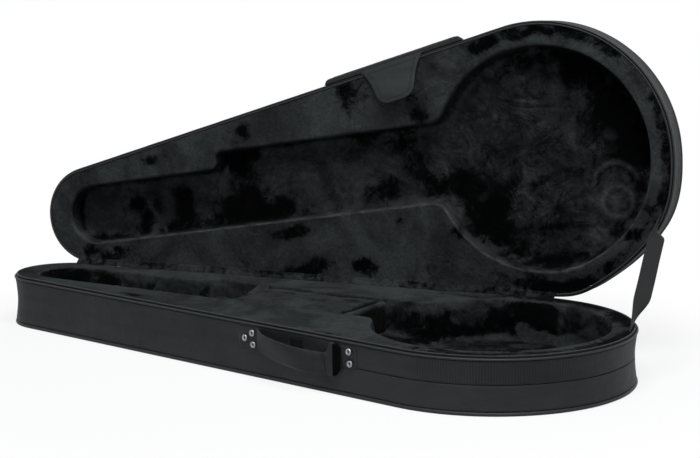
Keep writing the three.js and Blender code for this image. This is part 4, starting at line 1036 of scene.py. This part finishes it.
def zip_half(half):
    side, high = HALVES[half]["side"], HALVES[half]["depth"] - TOOTH_SETBACK
    top = high - TOOTH_HEIGHT - GAP
    route = zip_route(7 * MM, side)
    tape = np.array([
        [-0.9 * MM, -TAPE_BELOW], [-0.05 * MM, -TAPE_BELOW], [0, -2 * MM], [0, 0], [-0.5 * MM, 0.25 * MM],
        [-1 * MM, 0]]) + (-ZIP_INSET, top)
    strip = swept(f"{half}_zip_cloth", route, tape, TAPE, closed=False, half=half)
    soft_edges(strip)
    placed(strip, half, [f"{half}_zip_tape"])

    middle, low = -ZIP_INSET - 0.5 * MM, top + GAP
    radius = (high - low) / 2
    profile = circle(1.0, 8, start=math.pi / 8)
    points, faces, tooth_faces = [], [], []
    for x, y, nx, ny, _ in zip_route(TOOTH_PITCH, side):
        start = len(points)
        for along, grow in TOOTH_RINGS:
            for out, up in profile * radius * grow:
                o = middle + out
                points.append((x + nx * o - ny * along * MM, y + ny * o + nx * along * MM, low + radius + up))
        tooth_faces = tooth_faces or ringed(points, len(TOOTH_RINGS))[0]
        faces += [tuple(start + i for i in face) for face in tooth_faces]
    coil = mesh_piece(f"{half}_zip_teeth", carried(np.array(points), half), faces, ZIP)
    placed(coil, half, [f"{half}_zip_coil"])
    core = np.array([[middle + out * MM, z] for out, z in (
        (-0.9, low + 0.5 * MM), (0.9, low + 0.5 * MM), (0.9, high - 0.6 * MM), (-0.9, high - 0.6 * MM))])
    bed = swept(f"{half}_zip_bed", route, core, TAPE, closed=False, half=half)
    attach(bed, half)


for half_name in HALVES:
    lining(half_name)
    shell(half_name)
    outer_panel(half_name)
    zip_half(half_name)

# Neck rest, compartment and its lid

PAD_VOXEL = 4 * MM
PAD_FRAMES = 20
PAD_PRESSURE = 4
SADDLE_DEPTH = 14 * MM
TAB_SIDES = [(0.02, 0), (0.98, 0), (1, 0.45), (0.98, 0.9), (0.02, 0.9), (0, 0.45)]
TAB_ROWS = 12


def stuffed(points, faces, cap):
    """A closed form swollen by stuffing: cloth under pressure, no point further than cap from its start."""
    mesh = bpy.data.meshes.new("stuffing")
    mesh.from_pydata(points.tolist(), [], faces)
    outward(mesh)
    form = linked("stuffing", mesh)
    scene = bpy.context.scene
    even = form.modifiers.new("even", "REMESH")
    even.mode = "VOXEL"
    even.voxel_size = PAD_VOXEL

    def as_it_is():
        return bpy.data.meshes.new_from_object(form.evaluated_get(bpy.context.evaluated_depsgraph_get()))

    form_mesh = as_it_is()
    form.modifiers.clear()
    form.data = form_mesh
    points = corners(form_mesh)
    moved = 0 * points
    cloth = form.modifiers.new("cloth", "CLOTH")
    cloth.settings.use_pressure = True
    cloth.settings.uniform_pressure_force = PAD_PRESSURE
    cloth.settings.effector_weights.gravity = 0
    for number in range(1, PAD_FRAMES + 1):
        scene.frame_set(number)
    moved = corners(as_it_is()) - points
    scene.frame_set(1)
    reach = np.linalg.norm(moved, axis=1)[:, None]
    moved *= np.minimum(1, cap / np.maximum(reach, 0.01 * MM))
    bpy.data.objects.remove(form)
    return points, [tuple(p.vertices) for p in form_mesh.polygons], moved


def block_mesh(low, high, rounding, step):
    """Points and faces of a box with every edge rounded."""
    axes = [low[k] + (high[k] - low[k]) * np.linspace(0, 1, max(least, round((high[k] - low[k]) / step)) + 1)
            for k, least in enumerate((4, 4, 3))]
    points, faces, index = [], [], {}

    def add(spot):
        key = tuple(round(v, 6) for v in spot)
        if key not in index:
            index[key] = len(points)
            centre = np.clip(spot, low + rounding, high - rounding)
            away = np.array(spot) - centre
            length = np.linalg.norm(away)
            points.append(centre + away / length * rounding if length > rounding else np.array(spot))
        return index[key]

    for u, v, w in ((0, 1, 2), (1, 2, 0), (2, 0, 1)):
        for end in (axes[w][0], axes[w][-1]):
            for i in range(len(axes[u]) - 1):
                for j in range(len(axes[v]) - 1):
                    face = []
                    for di, dj in ((0, 0), (1, 0), (1, 1), (0, 1)):
                        spot = [end] * 3
                        spot[u], spot[v] = axes[u][i + di], axes[v][j + dj]
                        face.append(add(spot))
                    faces.append(tuple(face))
    return np.array(points), faces


def plush_block(name, node, top_at, body="base", rounding=4 * MM, step=3 * MM, seed=1, slack=0.0, pad=0.0):
    """A plush-covered block over a node's box, whose top follows top_at(x, y)."""
    low, high = (np.array(v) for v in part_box(node))
    solid, faces = block_mesh(low, high, rounding, step)
    share = (solid[:, 2] - low[2]) / (high[2] - low[2])
    top = top_at(solid[:, 0], solid[:, 1], low, high)
    solid[:, 2] = low[2] + share * (top - low[2])
    solid[:, 2] += share * waves(solid, 55 * MM, seed) * 0.5 * MM
    if pad:
        solid, faces, swell = stuffed(solid, faces, pad)
        share = np.clip((solid[:, 2] - low[2]) / (high[2] - low[2]), 0, 1)
        solid[:, 2] += np.maximum(swell[:, 2], 0) * smooth(share, 0.4, 0.8)
    soft = smooth(share, 0.3, 1)[:, None] * slack
    solid[:, :2] += soft * np.column_stack([waves(solid, 48 * MM, seed + more) for more in (50, 51)])
    # Painted highlight along the block's top edge; painted shade on its sides, with its top lighter.
    highlight_and_wear = smooth(share, 0.8, 0.97) * 0.35 * (0.5 + 0.5 * waves(solid, 40 * MM, seed + 5))
    nap_and_shade = 2.5 * smooth(share, 0.8, 1) - 2.2 + 0.5 * waves(solid, 70 * MM, seed + 30, 5)
    nap_and_shade = nap_and_shade + stroked(solid, BLOCK_NAP_AND_SHADE_STROKES, "base", BASE_HEIGHT - RIM_SETBACK)
    piece = mesh_piece(name, solid, faces, PLUSH, attributes={
        "edge": np.clip(highlight_and_wear, 0, 1), "crush_and_shade": np.full(len(solid), 0.1), "nap_and_shade": nap_and_shade})
    placed(piece, body, [node])


def compartment():
    rim = BASE_HEIGHT - RIM_SETBACK

    def saddle(x, y, low, high):
        share = np.clip((y - low[1]) / (high[1] - low[1]), 0, 1)
        top = rim + 3 * MM - SADDLE_DEPTH * np.sin(math.pi * share)
        ledge = smooth(x, high[0] - 8 * MM, high[0] - 5 * MM)
        return top - ledge * np.maximum(top - (rim - 12.6 * MM), 0)

    def step_down(x, y, low, high):
        ledge = 1 - smooth(x, low[0] + 5 * MM, low[0] + 8 * MM)
        return high[2] - ledge * 8.3 * MM

    def crown(x, y, low, high):
        u, v = (np.clip((at - low[k]) / (high[k] - low[k]), 0, 1) for k, at in enumerate((x, y)))
        return high[2] + 0.9 * MM * (np.sin(math.pi * u) * np.sin(math.pi * v) - 0.4)

    plush_block("neck_rest", "neck_cradle", saddle, rounding=8 * MM, seed=3, slack=1.4 * MM)
    plush_block("compartment_wall", "compartment_divider", step_down, rounding=4.6 * MM, seed=4,
                slack=1.1 * MM)
    plush_block("compartment_door", "compartment_lid", crown, "compartment_door", rounding=3.6 * MM,
                step=3.5 * MM, seed=6, pad=3 * MM)
    low, high = (np.array(v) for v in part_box("compartment_pull_tab"))
    points = []
    for r in np.linspace(0, 1, TAB_ROWS):
        y = high[1] + (low[1] - high[1]) * r
        lift = low[2] + (high[2] - low[2] - 0.9 * MM) * r ** 1.5
        points += [(low[0] + (high[0] - low[0]) * x, y, lift + z * MM) for x, z in TAB_SIDES]
    faces, uv = ringed(points, TAB_ROWS)
    tab = mesh_piece("pull_tab", points, faces, WEBBING, uv)
    placed(tab, "compartment_door", ["compartment_pull_tab"])


compartment()

# Handle: a padded band, flat at both ends. Its upper and lower edge by offset and height, in mm.

HANDLE_CENTRE = 0.76 * WALL_LENGTH
HANDLE_SPAN = 151 * MM
GRIP_SPAN = 101 * MM
HANDLE_BOW = 26 * MM
HANDLE_UPPER = [(-76, 76), (-54, 72), (-30, 71), (-5, 69.5), (30, 65), (47, 63), (64, 61), (69, 63), (74, 70),
                (76, 77)]
HANDLE_LOWER = [(-76, 40), (-30, 33), (17, 31.5), (46, 30), (79, 28.5)]
HANDLE_LEAN = [(-70, 0.03), (-45, 0.3), (-10, 0.5), (40, 0.9)]
HANDLE_SIDES = 28
END_THICK = 8 * MM
END_LENGTH = 15 * MM
SHADOW_FROM = 6.8 * MM
BAND_EDGE = 2 * MM
BAND_MIDDLE = 6 * MM


def handle_out(offset):
    return 0.1 * MM + HANDLE_BOW * (1 - (offset / (HANDLE_SPAN / 2)) ** 2)


def handle_rings(start, end, rows):
    points = []
    limit = HANDLE_SPAN / 2
    for offset in np.linspace(start, end, rows):
        top, bottom, low_share = (np.interp(offset / MM, *np.transpose(line))
                                  for line in (HANDLE_UPPER, HANDLE_LOWER, HANDLE_LEAN))
        past = smooth(offset, limit + 6 * MM, limit + END_LENGTH)
        bottom = bottom * MM + 9 * MM * past
        top = top * MM - 4 * MM * past
        middle, tall = (top + bottom) / 2, (top - bottom) / 2
        half = (BAND_EDGE + (BAND_MIDDLE - BAND_EDGE) * (1 - min(abs(offset) / limit, 1) ** 4)) / 2
        folded = smooth(offset, limit - 16 * MM, limit - 4 * MM)
        outer = max(handle_out(offset) if abs(offset) < limit else 0, END_THICK * folded)
        outer *= 1 - smooth(offset, limit + 7 * MM, limit + END_LENGTH)
        for c, s in circle(1, HANDLE_SIDES):
            up = math.copysign(abs(s) ** 0.6, s)
            side = math.copysign(abs(c) ** 0.75, c)
            out = outer * (low_share + (1 - low_share) * (0.5 + 0.5 * up)) + half * side
            if side < 0:
                out += (0.3 * MM - out) * folded * min(1, -3 * side)
            points.append(near_point(HANDLE_CENTRE + offset, max(out, 0.05 * MM), middle + tall * up))
    return np.array(points)


def with_crease(points):
    """A fold line across the band where the padding ends, and how near each point is to it, by which the
    crease is painted dark as painted shade.
    """
    offset = (points - near_point(HANDLE_CENTRE, 0, 0)) @ np.array(NEAR_ALONG)
    line = (62 + 8 * smooth(76 * MM - points[:, 2], 14 * MM, 46 * MM)) * MM
    near = np.exp(-((offset - line) / (1.2 * MM)) ** 2)
    return points - (1.6 * MM * near)[:, None] * NEAR_OUT, near


def handle():
    half, end = GRIP_SPAN / 2, HANDLE_SPAN / 2
    for name, start, finish, rows in (
        ("grip", -half + GAP, half - GAP, 41),
        ("shoulder_left", -end + GAP, -half, 14),
        ("shoulder_right", half, end + END_LENGTH, 40),
    ):
        node = f"handle_{name}"
        points = handle_rings(start, finish, rows)
        folded = np.zeros(len(points))
        if name == "shoulder_right":
            points, folded = with_crease(points)
        faces, uv = ringed(points, rows)
        piece = mesh_piece(f"{node}_cloth", points, faces, HANDLE_NYLON_SHADED, uv, attributes={"stitch_and_crease_shade": folded})
        soft_edges(piece, 60)
        if name == "grip":
            placed(piece, "handle", [node])
            continue
        if name == "shoulder_right":
            # The end face of the band is near black: a painted shadow in the gap between the band's end and
            # the wall.
            piece.data.materials.append(HANDLE_END_SHADOW)
            middle = Vector(near_point(HANDLE_CENTRE, 0, 0))
            for polygon in piece.data.polygons:
                if (polygon.center - middle).dot(Vector(NEAR_ALONG)) > end + SHADOW_FROM:
                    polygon.material_index = 1
        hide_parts(node)
        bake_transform(piece)


handle()

# Rivets: domed rings with a dimple, by offset and height, and their profile by radius and height, in mm

RIVETS = [(-86, 67), (-86, 49), (-102.5, 57.5), (106.5, 67), (106.5, 49)]
RIVET_PROFILE = [(0.6, 0.5), (1.5, 0.62), (1.9, 0.95), (2.5, 1.7), (3.1, 2.15), (3.7, 2.2), (4.4, 2.0),
                 (5.0, 1.45), (5.3, 0.75), (5.3, 0.1), (4.9, 0.0), (1.9, 0.0), (1.9, -8.6), (3.4, -8.7),
                 (3.4, -9.8), (0.01, -9.9)]
RIVET_TOP = 2.2
RIVET_SIDES = 32
DIMPLE_RINGS = 3


def far_face(node):
    """How far a node of the near wall stands out from that wall."""
    start = Vector((HINGE.x, -HINGE.y, 0))
    return max((v.co - start).dot(Vector(NEAR_OUT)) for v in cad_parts[node].data.vertices)


def rivets():
    for i, (offset, z) in enumerate(RIVETS):
        node = f"handle_rivet_{i + 1}"
        shown = far_face(node)
        points = [near_point(HANDLE_CENTRE + (offset + along) * MM, shown + (up - RIVET_TOP) * MM,
                             (z + rise) * MM)
                  for radius, up in RIVET_PROFILE for along, rise in circle(radius, RIVET_SIDES)]
        piece = mesh_piece(f"rivet_{i + 1}", points, ringed(points, len(RIVET_PROFILE))[0], NICKEL)
        piece.data.materials.append(DARK_METAL)
        for polygon in piece.data.polygons:
            if max(polygon.vertices) < DIMPLE_RINGS * RIVET_SIDES:
                polygon.material_index = 1
        soft_edges(piece, 35)
        placed(piece, "base", [node])


rivets()

# Cloth patches on the walls: a sheet that follows the wall, cut to an outline, with a sewn border

TAB_REACH = 43 * MM
TAB_LOW, TAB_HIGH = 42 * MM, 74 * MM
LOOP_HALF = 12 * MM
LOOP_LOW, LOOP_HIGH = 36 * MM, 72 * MM
FLAP_OFFSET = 1.5 * MM
PATCH_HALF = 125 * MM
PATCH_TALL = 34 * MM
PATCH_CORNER = 15 * MM
PATCH_PUFF = 12.5 * MM
FULL_PUFF = 2 * MM
TONGUE_ROOT = 114 * MM
TONGUE_TIP = 68 * MM
TONGUE_LENGTH = 64 * MM
TONGUE_CORNER = 21 * MM
TONGUE_FLARE = 2.4
TONGUE_START = 2.7 * MM
DROOP = 0.36
HOOK_HALF = 20 * MM
HOOK_TALL = 26 * MM
HOOK_TO_TIP = 10.2 * MM


def rounded(x0, z0, x1, z1, radius, step=2.5 * MM):
    """A rectangle with rounded corners."""
    return joined([bow(x, z, radius, start, start + TURN, step=step, least=5) for x, z, start in (
        (x1 - radius, z0 + radius, -TURN), (x1 - radius, z1 - radius, 0),
        (x0 + radius, z1 - radius, TURN), (x0 + radius, z0 + radius, 2 * TURN))], step)


def patch(name, outline, out_at, thickness, to_world, material, stitch=3 * MM, seed=1, grid=4 * MM, puff=0.0,
          soften=0.0):
    """A closed sheet over an outline of (along, up), pressed in along its line of stitches."""
    low, high = outline.min(0), outline.max(0)
    cells = np.stack(np.meshgrid(np.arange(low[0], high[0], grid), np.arange(low[1], high[1], grid)), 2)
    cells = cells.reshape(-1, 2)
    flat, faces, _, place = filled([], cells[depth_in(cells, outline) > grid * 0.6], outline)
    edge = [place[i] for i in range(len(outline))]
    deep = depth_in(flat, outline)
    deep[edge] = 0
    rolled = thickness * 0.5 * (1 - smooth(deep, 0, thickness))
    if soften:
        rolled = thickness * 0.95 * (1 - smooth(deep, 0, soften))
    dip = 0.35 * thickness * np.exp(-((deep - stitch) / (0.9 * MM)) ** 2)
    if puff > FULL_PUFF:
        swell = puff * np.sqrt(np.clip(deep / (4 * stitch), 0, 1))
    else:
        swell = puff * smooth(deep, 0, 2.5 * stitch)
    ripple = waves(np.column_stack([flat, 0 * deep]), 45 * MM, seed) * 0.25 * MM * smooth(deep, 0, 8 * MM)
    base = out_at(flat[:, 0], flat[:, 1])
    front = to_world(flat[:, 0], base + thickness - rolled - dip + swell + ripple, flat[:, 1])
    back = to_world(flat[:, 0], base + rolled * 0.6, flat[:, 1])
    count = len(flat)
    every = both_sides(faces, count, edge)
    uv = [tuple(flat[i % count]) for face in every for i in face]
    stitch_and_crease_shade = np.exp(-((deep - stitch) / (1 * MM)) ** 2)
    return mesh_piece(name, np.vstack([front, back]), every, material, uv,
                      attributes={"stitch_and_crease_shade": np.concatenate([stitch_and_crease_shade, 0 * stitch_and_crease_shade])})


def near_world(along, out, z):
    return np.column_stack(near_point(along, out, z))


def lid_world(along, out, z):
    return carried(np.column_stack(far_point(along, out, z)), "lid")


def on_base(along, z):
    return wall_out(z, "base") + GAP


def on_lid(along, z):
    """The lid's wall, and over its rim piping."""
    bead_low = LID_DEPTH - RIM_BEAD_DROP - RIM_BEAD - 2 * GAP
    return wall_out(z, "lid") * (1 - smooth(z, bead_low - 5 * MM, bead_low)) + GAP


def tongue_world(along, out, inward):
    """The tongue starts just outside the rim and stands off the lid more and more towards its tip."""
    x, y, _ = far_point(along, TONGUE_START - inward, 0)
    sag = 2 * MM * waves(np.column_stack([along, inward, 0 * along]), 90 * MM, 3)
    droop = (DROOP + sag / TONGUE_LENGTH) * np.maximum(inward - 3 * MM, 0)
    return carried(np.column_stack([x, y, LID_DEPTH - 0.45 * MM + out + droop]), "lid")


def tongue_outline():
    flat_length = TONGUE_LENGTH - TONGUE_CORNER
    rows = np.linspace(0, flat_length, 18)
    side = (TONGUE_TIP + (TONGUE_ROOT - TONGUE_TIP) * (1 - rows / TONGUE_LENGTH) ** TONGUE_FLARE) / 2
    corner = bow(TONGUE_TIP / 2 - TONGUE_CORNER, flat_length, TONGUE_CORNER, 0, TURN, 3 * MM)[1:]
    right = np.vstack([np.column_stack([side, rows]), corner])
    return joined([right, right[::-1] * (-1, 1)], 3 * MM)


def patches():
    for side, sign in (("left", -1), ("right", 1)):
        a = HANDLE_CENTRE + sign * HANDLE_SPAN / 2
        b = a + sign * TAB_REACH
        outline = rounded(min(a, b), TAB_LOW, max(a, b), TAB_HIGH, 6 * MM)
        tab = patch(f"handle_tab_{side}_cloth", outline, on_base, 0.6 * MM, near_world, NYLON_FLAT, seed=4,
                    stitch=-20 * MM, soften=9 * MM)
        placed(tab, "base", [f"handle_tab_{side}"])
    centre = HANDLE_CENTRE + FLAP_OFFSET
    outline = rounded(centre - LOOP_HALF, LOOP_LOW, centre + LOOP_HALF, LOOP_HIGH, 1.5 * MM)
    loop = patch("loop_patch", outline, on_base, 0.8 * MM, near_world, LOOPS, stitch=2 * MM)
    placed(loop, "base", ["flap_loop_patch"])

    # The flap's patch ends in a straight edge at the lid's rim.
    top = LID_DEPTH - TOOTH_SETBACK - GAP
    outline = rounded(centre - PATCH_HALF, top - PATCH_TALL, centre + PATCH_HALF, top + PATCH_CORNER,
                      PATCH_CORNER)
    outline = outline[outline[:, 1] <= top - 0.5 * MM]
    gap_at = int(np.argmax(np.linalg.norm(np.diff(np.vstack([outline, outline[:1]]), axis=0), axis=1)))
    outline = np.roll(outline, -gap_at - 1, axis=0)
    outline = np.vstack([outline, straight(outline[-1], outline[0], 3 * MM)])
    outer = patch("flap_patch_cloth", outline, on_lid, 1.6 * MM, lid_world, PATCH_NYLON, seed=8,
                  stitch=4.5 * MM, puff=PATCH_PUFF)
    placed(outer, "lid", ["flap_patch"])

    tongue = patch("flap_tongue_cloth", tongue_outline() + (centre, 0), lambda along, up: 0 * along, 0.9 * MM,
                   tongue_world, TONGUE, stitch=7 * MM, seed=12, grid=2.5 * MM, puff=0.8 * MM)
    placed(tongue, "flap", ["flap_tongue"])
    hook_far = TONGUE_LENGTH - HOOK_TO_TIP + TONGUE_START
    outline = rounded(centre - HOOK_HALF, hook_far - HOOK_TALL, centre + HOOK_HALF, hook_far, 2 * MM)
    hook = patch("flap_hook", outline, lambda along, up: 0 * along - 0.85 * MM, 0.75 * MM, tongue_world,
                 HOOKS, stitch=2 * MM)
    placed(hook, "flap", ["flap_hook_patch"])
    for piece in (tongue, hook):
        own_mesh(piece)


patches()

# Stay strap: a flat strap that bows outwards between the two rims. Its ends are sewn down between two
# angles round the drum end, and inset from the rim.

STRAP_WIDTH = 26 * MM
STRAP_THICKNESS = 1.6 * MM
STRAP_ROWS = 72
STRAP_SECTION = [(-1, -0.5), (-0.97, -1), (-0.5, -1.1), (0, -1.15), (0.5, -1.1), (0.97, -1), (1, -0.5),
                 (1, 0.5), (0.97, 1), (0.5, 1.1), (0, 1.15), (-0.5, 1.1), (-0.97, 1), (-1, 0.5)]
STRAP_FACE = 0.85
BASE_SEWN = (13.5, 22.5)
BASE_SEWN_INSET = 9 * MM
LID_SEWN = (30.2, 37.2)
LID_SEWN_INSET = 5 * MM


def rim_point(degrees, inset, z):
    radius, angle = DRUM_RADIUS - inset, math.radians(degrees)
    return Vector((DRUM_X + radius * math.cos(angle), radius * math.sin(angle), z))


def strap():
    base_z = BASE_HEIGHT - RIM_SETBACK + GAP + STRAP_THICKNESS / 2
    lid_z = BASE_HEIGHT + RIM_SETBACK + STRAP_THICKNESS
    base_aim = rim_point(17.6, 4 * MM, base_z)
    lid_aim = LID_TURN @ rim_point(34.6, 0, lid_z)
    on_rims = ([rim_point(at, BASE_SEWN_INSET, base_z) for at in BASE_SEWN],
               [LID_TURN @ rim_point(at, LID_SEWN_INSET, lid_z) for at in LID_SEWN])
    along = (lid_aim - base_aim).normalized()

    def edge_at(share, side):
        def straight_edge(place):
            return base_aim.lerp(lid_aim, place) + ALONG * (side * STRAP_WIDTH / 2)
        which = 0 if side < 0 else 1
        return (straight_edge(share)
                + (on_rims[0][which] - straight_edge(0)) * float(1 - smooth(share, 0, 0.3))
                + (on_rims[1][which] - straight_edge(1)) * float(smooth(share, 0.84, 1)))

    points = []
    for share in np.linspace(0, 1, STRAP_ROWS):
        low, high = edge_at(share, -1), edge_at(share, 1)
        across = (high - low) / 2
        normal = along.cross(across).normalized()
        middle = (low + high) / 2 + normal * 0.5 * MM * math.sin(math.pi * share) * math.sin(share * 17)
        points += [tuple(middle + across * u + normal * v * STRAP_THICKNESS / 2 * STRAP_FACE)
                   for u, v in STRAP_SECTION]
    faces, uv = ringed(points, STRAP_ROWS)
    piece = mesh_piece("stay_strap_webbing", points, faces, WEBBING, uv)
    soft_edges(piece, 50)
    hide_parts("stay_strap")
    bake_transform(piece)


strap()

# Fabric hinge, which bends where the halves meet

HINGE_REACH = 24 * MM
HINGE_THICKNESS = 1.2 * MM
HINGE_END = 59.2 * MM
WEB_INSET = 7.4 * MM
WEB_PAST_HEAD = 22 * MM
WEB_PAST_DRUM = 34 * MM
WEB_SHARES = (0, 0.25, 0.5, 0.75, 1)
WEB_BACK = 0.5 * MM


def hinge_strip():
    bend = math.tan((math.pi - OPEN_ANGLE) / 2)

    def turned(out, up):
        return (out * math.cos(OPEN_ANGLE) + up * math.sin(OPEN_ANGLE),
                BASE_HEIGHT - out * math.sin(OPEN_ANGLE) + up * math.cos(OPEN_ANGLE))

    def line(out):
        foot, corner = BASE_HEIGHT - HINGE_REACH, BASE_HEIGHT - out / bend
        return ([(out, foot + t * (corner - foot)) for t in np.linspace(0, 0.96, 9)]
                + [turned(out, out / bend + t * (HINGE_REACH - out / bend)) for t in np.linspace(0.04, 1, 9)])

    section = np.array(line(GAP) + line(GAP + HINGE_THICKNESS)[::-1])
    start, end = HINGE_END, WALL_LENGTH - HINGE_END
    route = np.array([far_wall(a) for a in np.linspace(start, end, 120)])
    piece = swept("hinge_cloth", with_runs(route), section, NYLON_FLAT, closed=False,
                  shape=rippled(0.12, 60 * MM, 3))
    soft_edges(piece, 50)
    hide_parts("hinge_strip")
    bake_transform(piece)


def hinge_web():
    """A narrow web of plush joins the two linings, and runs a little past each end of the far wall."""
    def edge(along):
        beyond = along - WALL_LENGTH
        if along < 0:
            x, radius, angle = HEAD_X, HEAD_RADIUS, TANGENT - along / HEAD_RADIUS
        elif beyond > 0:
            x, radius, angle = DRUM_X, DRUM_RADIUS, TANGENT - beyond / DRUM_RADIUS
        else:
            return far_point(along, -WEB_INSET, 0)
        return x + (radius - WEB_INSET) * math.cos(angle), (radius - WEB_INSET) * math.sin(angle), 0

    runs = np.linspace(-WEB_PAST_HEAD, WALL_LENGTH + WEB_PAST_DRUM, 190)
    edges = []
    for half, sizes in HALVES.items():
        level = sizes["depth"] - RIM_SETBACK + 0.15 * MM
        edges.append(carried(np.array([edge(r) for r in runs]) * (1, sizes["side"], 0) + (0, 0, level), half))
    points = []
    back = np.array([OUT_X, OUT_Y, 0]) * WEB_BACK
    for low, high in zip(*edges):
        for shares, extra in ((WEB_SHARES, 0), (WEB_SHARES[::-1], 1.2)):
            points += [low + (high - low) * share + back * (math.sin(math.pi * share) * 3 + extra)
                       for share in shares]
    faces, uv = ringed(points, len(runs))
    none = np.zeros(len(points))
    piece = mesh_piece("hinge_web", points, faces, PLUSH, uv, attributes={
        "edge": none, "crush_and_shade": none, "nap_and_shade": none - 0.9})
    soft_edges(piece, 60)
    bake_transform(piece)


hinge_strip()
hinge_web()

# Zip sliders and pulls: the cast bodies with their edges broken

SLIDER_BREAK = 0.25 * MM
PULL_BREAK = 0.2 * MM


def eased(node, body, width):
    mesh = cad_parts[node].data.copy()
    edit = bmesh.new()
    edit.from_mesh(mesh)
    bmesh.ops.remove_doubles(edit, verts=edit.verts, dist=1e-6)
    bmesh.ops.dissolve_limit(edit, angle_limit=math.radians(3), verts=edit.verts, edges=edit.edges)
    sharp = [e for e in edit.edges if len(e.link_faces) == 2 and e.calc_face_angle() > math.radians(35)]
    bmesh.ops.bevel(edit, geom=sharp, offset=width, segments=2, profile=0.5, affect="EDGES",
                    clamp_overlap=True)
    edit.to_mesh(mesh)
    edit.free()
    wear(mesh, DARK_METAL)
    piece = linked(f"{node}_cast", mesh)
    soft_edges(piece, 35)
    placed(piece, body, [node])


def wear(mesh, look):
    mesh.materials.clear()
    mesh.materials.append(look)


for end_name in ("head", "drum"):
    eased(f"{end_name}_zip_slider", f"{end_name}_slider", SLIDER_BREAK)
    eased(f"{end_name}_zip_pull", f"{end_name}_pull", PULL_BREAK)
for half_name in HALVES:
    wear(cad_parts[f"{half_name}_foam_shell"].data, FOAM)
for side_name in ("left", "right"):
    wear(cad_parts[f"handle_backing_plate_{side_name}"].data, DARK_METAL)

# Floor, light and camera

AMBIENT = 0.12
FLOOR_REACH = 60


def seen_share(tree):
    """1 for the rays that show the white surroundings, and 0 for those that carry light."""
    path = tree.nodes.new("ShaderNodeLightPath")
    total = path.outputs["Is Camera Ray"]
    for name in ("Is Glossy Ray", "Is Transmission Ray"):
        item = tree.nodes.new("ShaderNodeMath")
        item.operation = "ADD"
        item.use_clamp = True
        tree.links.new(total, item.inputs[0])
        tree.links.new(path.outputs[name], item.inputs[1])
        total = item.outputs[0]
    return total


def floor():
    looks = Looks("floor")
    looks.set(Base_Color=(0.72, 0.73, 0.74, 1), Roughness=0.9)
    white = looks.add("ShaderNodeEmission", {"Color": (1, 1, 1, 1), "Strength": 1.0})
    reach_out = looks.add("ShaderNodeVectorMath", {0: looks.place()}, operation="LENGTH").outputs["Value"]
    open_floor = looks.ramp(looks.times(reach_out, 0.5), (0.27, 0.84), (0.4, 1.0))
    share = looks.times(seen_share(looks.tree), open_floor)
    blend = looks.add("ShaderNodeMixShader", {0: share, 1: looks.shader.outputs[0], 2: white.outputs[0]})
    looks.put(looks.tree.nodes["Material Output"].inputs["Surface"], blend.outputs[0])
    mesh = bpy.data.meshes.new("floor")
    mesh.from_pydata([(x * FLOOR_REACH, y * FLOOR_REACH, 0) for x, y in ((-1, -1), (1, -1), (1, 1), (-1, 1))],
                     [], [(0, 1, 2, 3)])
    mesh.materials.append(looks.material)
    linked("floor", mesh)


def surroundings():
    world = bpy.data.worlds.new("studio")
    bpy.context.scene.world = world
    world.use_nodes = True
    nodes, links = world.node_tree.nodes, world.node_tree.links
    mix = nodes.new("ShaderNodeMixShader")
    links.new(seen_share(world.node_tree), mix.inputs[0])
    shown, soft = nodes["Background"], nodes.new("ShaderNodeBackground")
    for item, socket, colour, strength in (
        (soft, 1, (0.95, 0.98, 1, 1), AMBIENT),
        (shown, 2, (1, 1, 1, 1), 1.0),
    ):
        item.inputs[0].default_value = colour
        item.inputs[1].default_value = strength
        links.new(item.outputs[0], mix.inputs[socket])
    links.new(mix.outputs[0], nodes["World Output"].inputs[0])


def lamp(name, place, aim, size, power):
    data = bpy.data.lights.new(name, "AREA")
    data.shape = "RECTANGLE"
    data.size, data.size_y = size
    data.energy = power
    item = linked(name, data)
    item.location = place
    item.rotation_euler = (Vector(aim) - Vector(place)).to_track_quat("-Z", "Y").to_euler()


def camera():
    data = bpy.data.cameras.new("camera")
    data.sensor_width = 36
    data.lens = data.sensor_width * VIEW_FOCAL / VIEW_SIZE[0]
    data.shift_x = 0.5 - VIEW_MIDDLE[0] / VIEW_SIZE[0]
    data.shift_y = (VIEW_MIDDLE[1] - VIEW_SIZE[1] / 2) / VIEW_SIZE[0]
    item = linked("camera", data)
    forward, right, up = view_axes()
    item.matrix_world = Matrix.Translation(EYE) @ Matrix((right, up, -forward)).transposed().to_4x4()
    bpy.context.scene.camera = item


floor()
surroundings()
lamp("overhead", (0.6, -0.7, 2.5), (0, 0, 0.1), (1.6, 1.4), 72)
lamp("front", (2.5, -2.3, 1.7), (0, 0, 0.2), (2.2, 1.8), 27)
camera()
bpy.context.scene.view_settings.view_transform = "Standard"
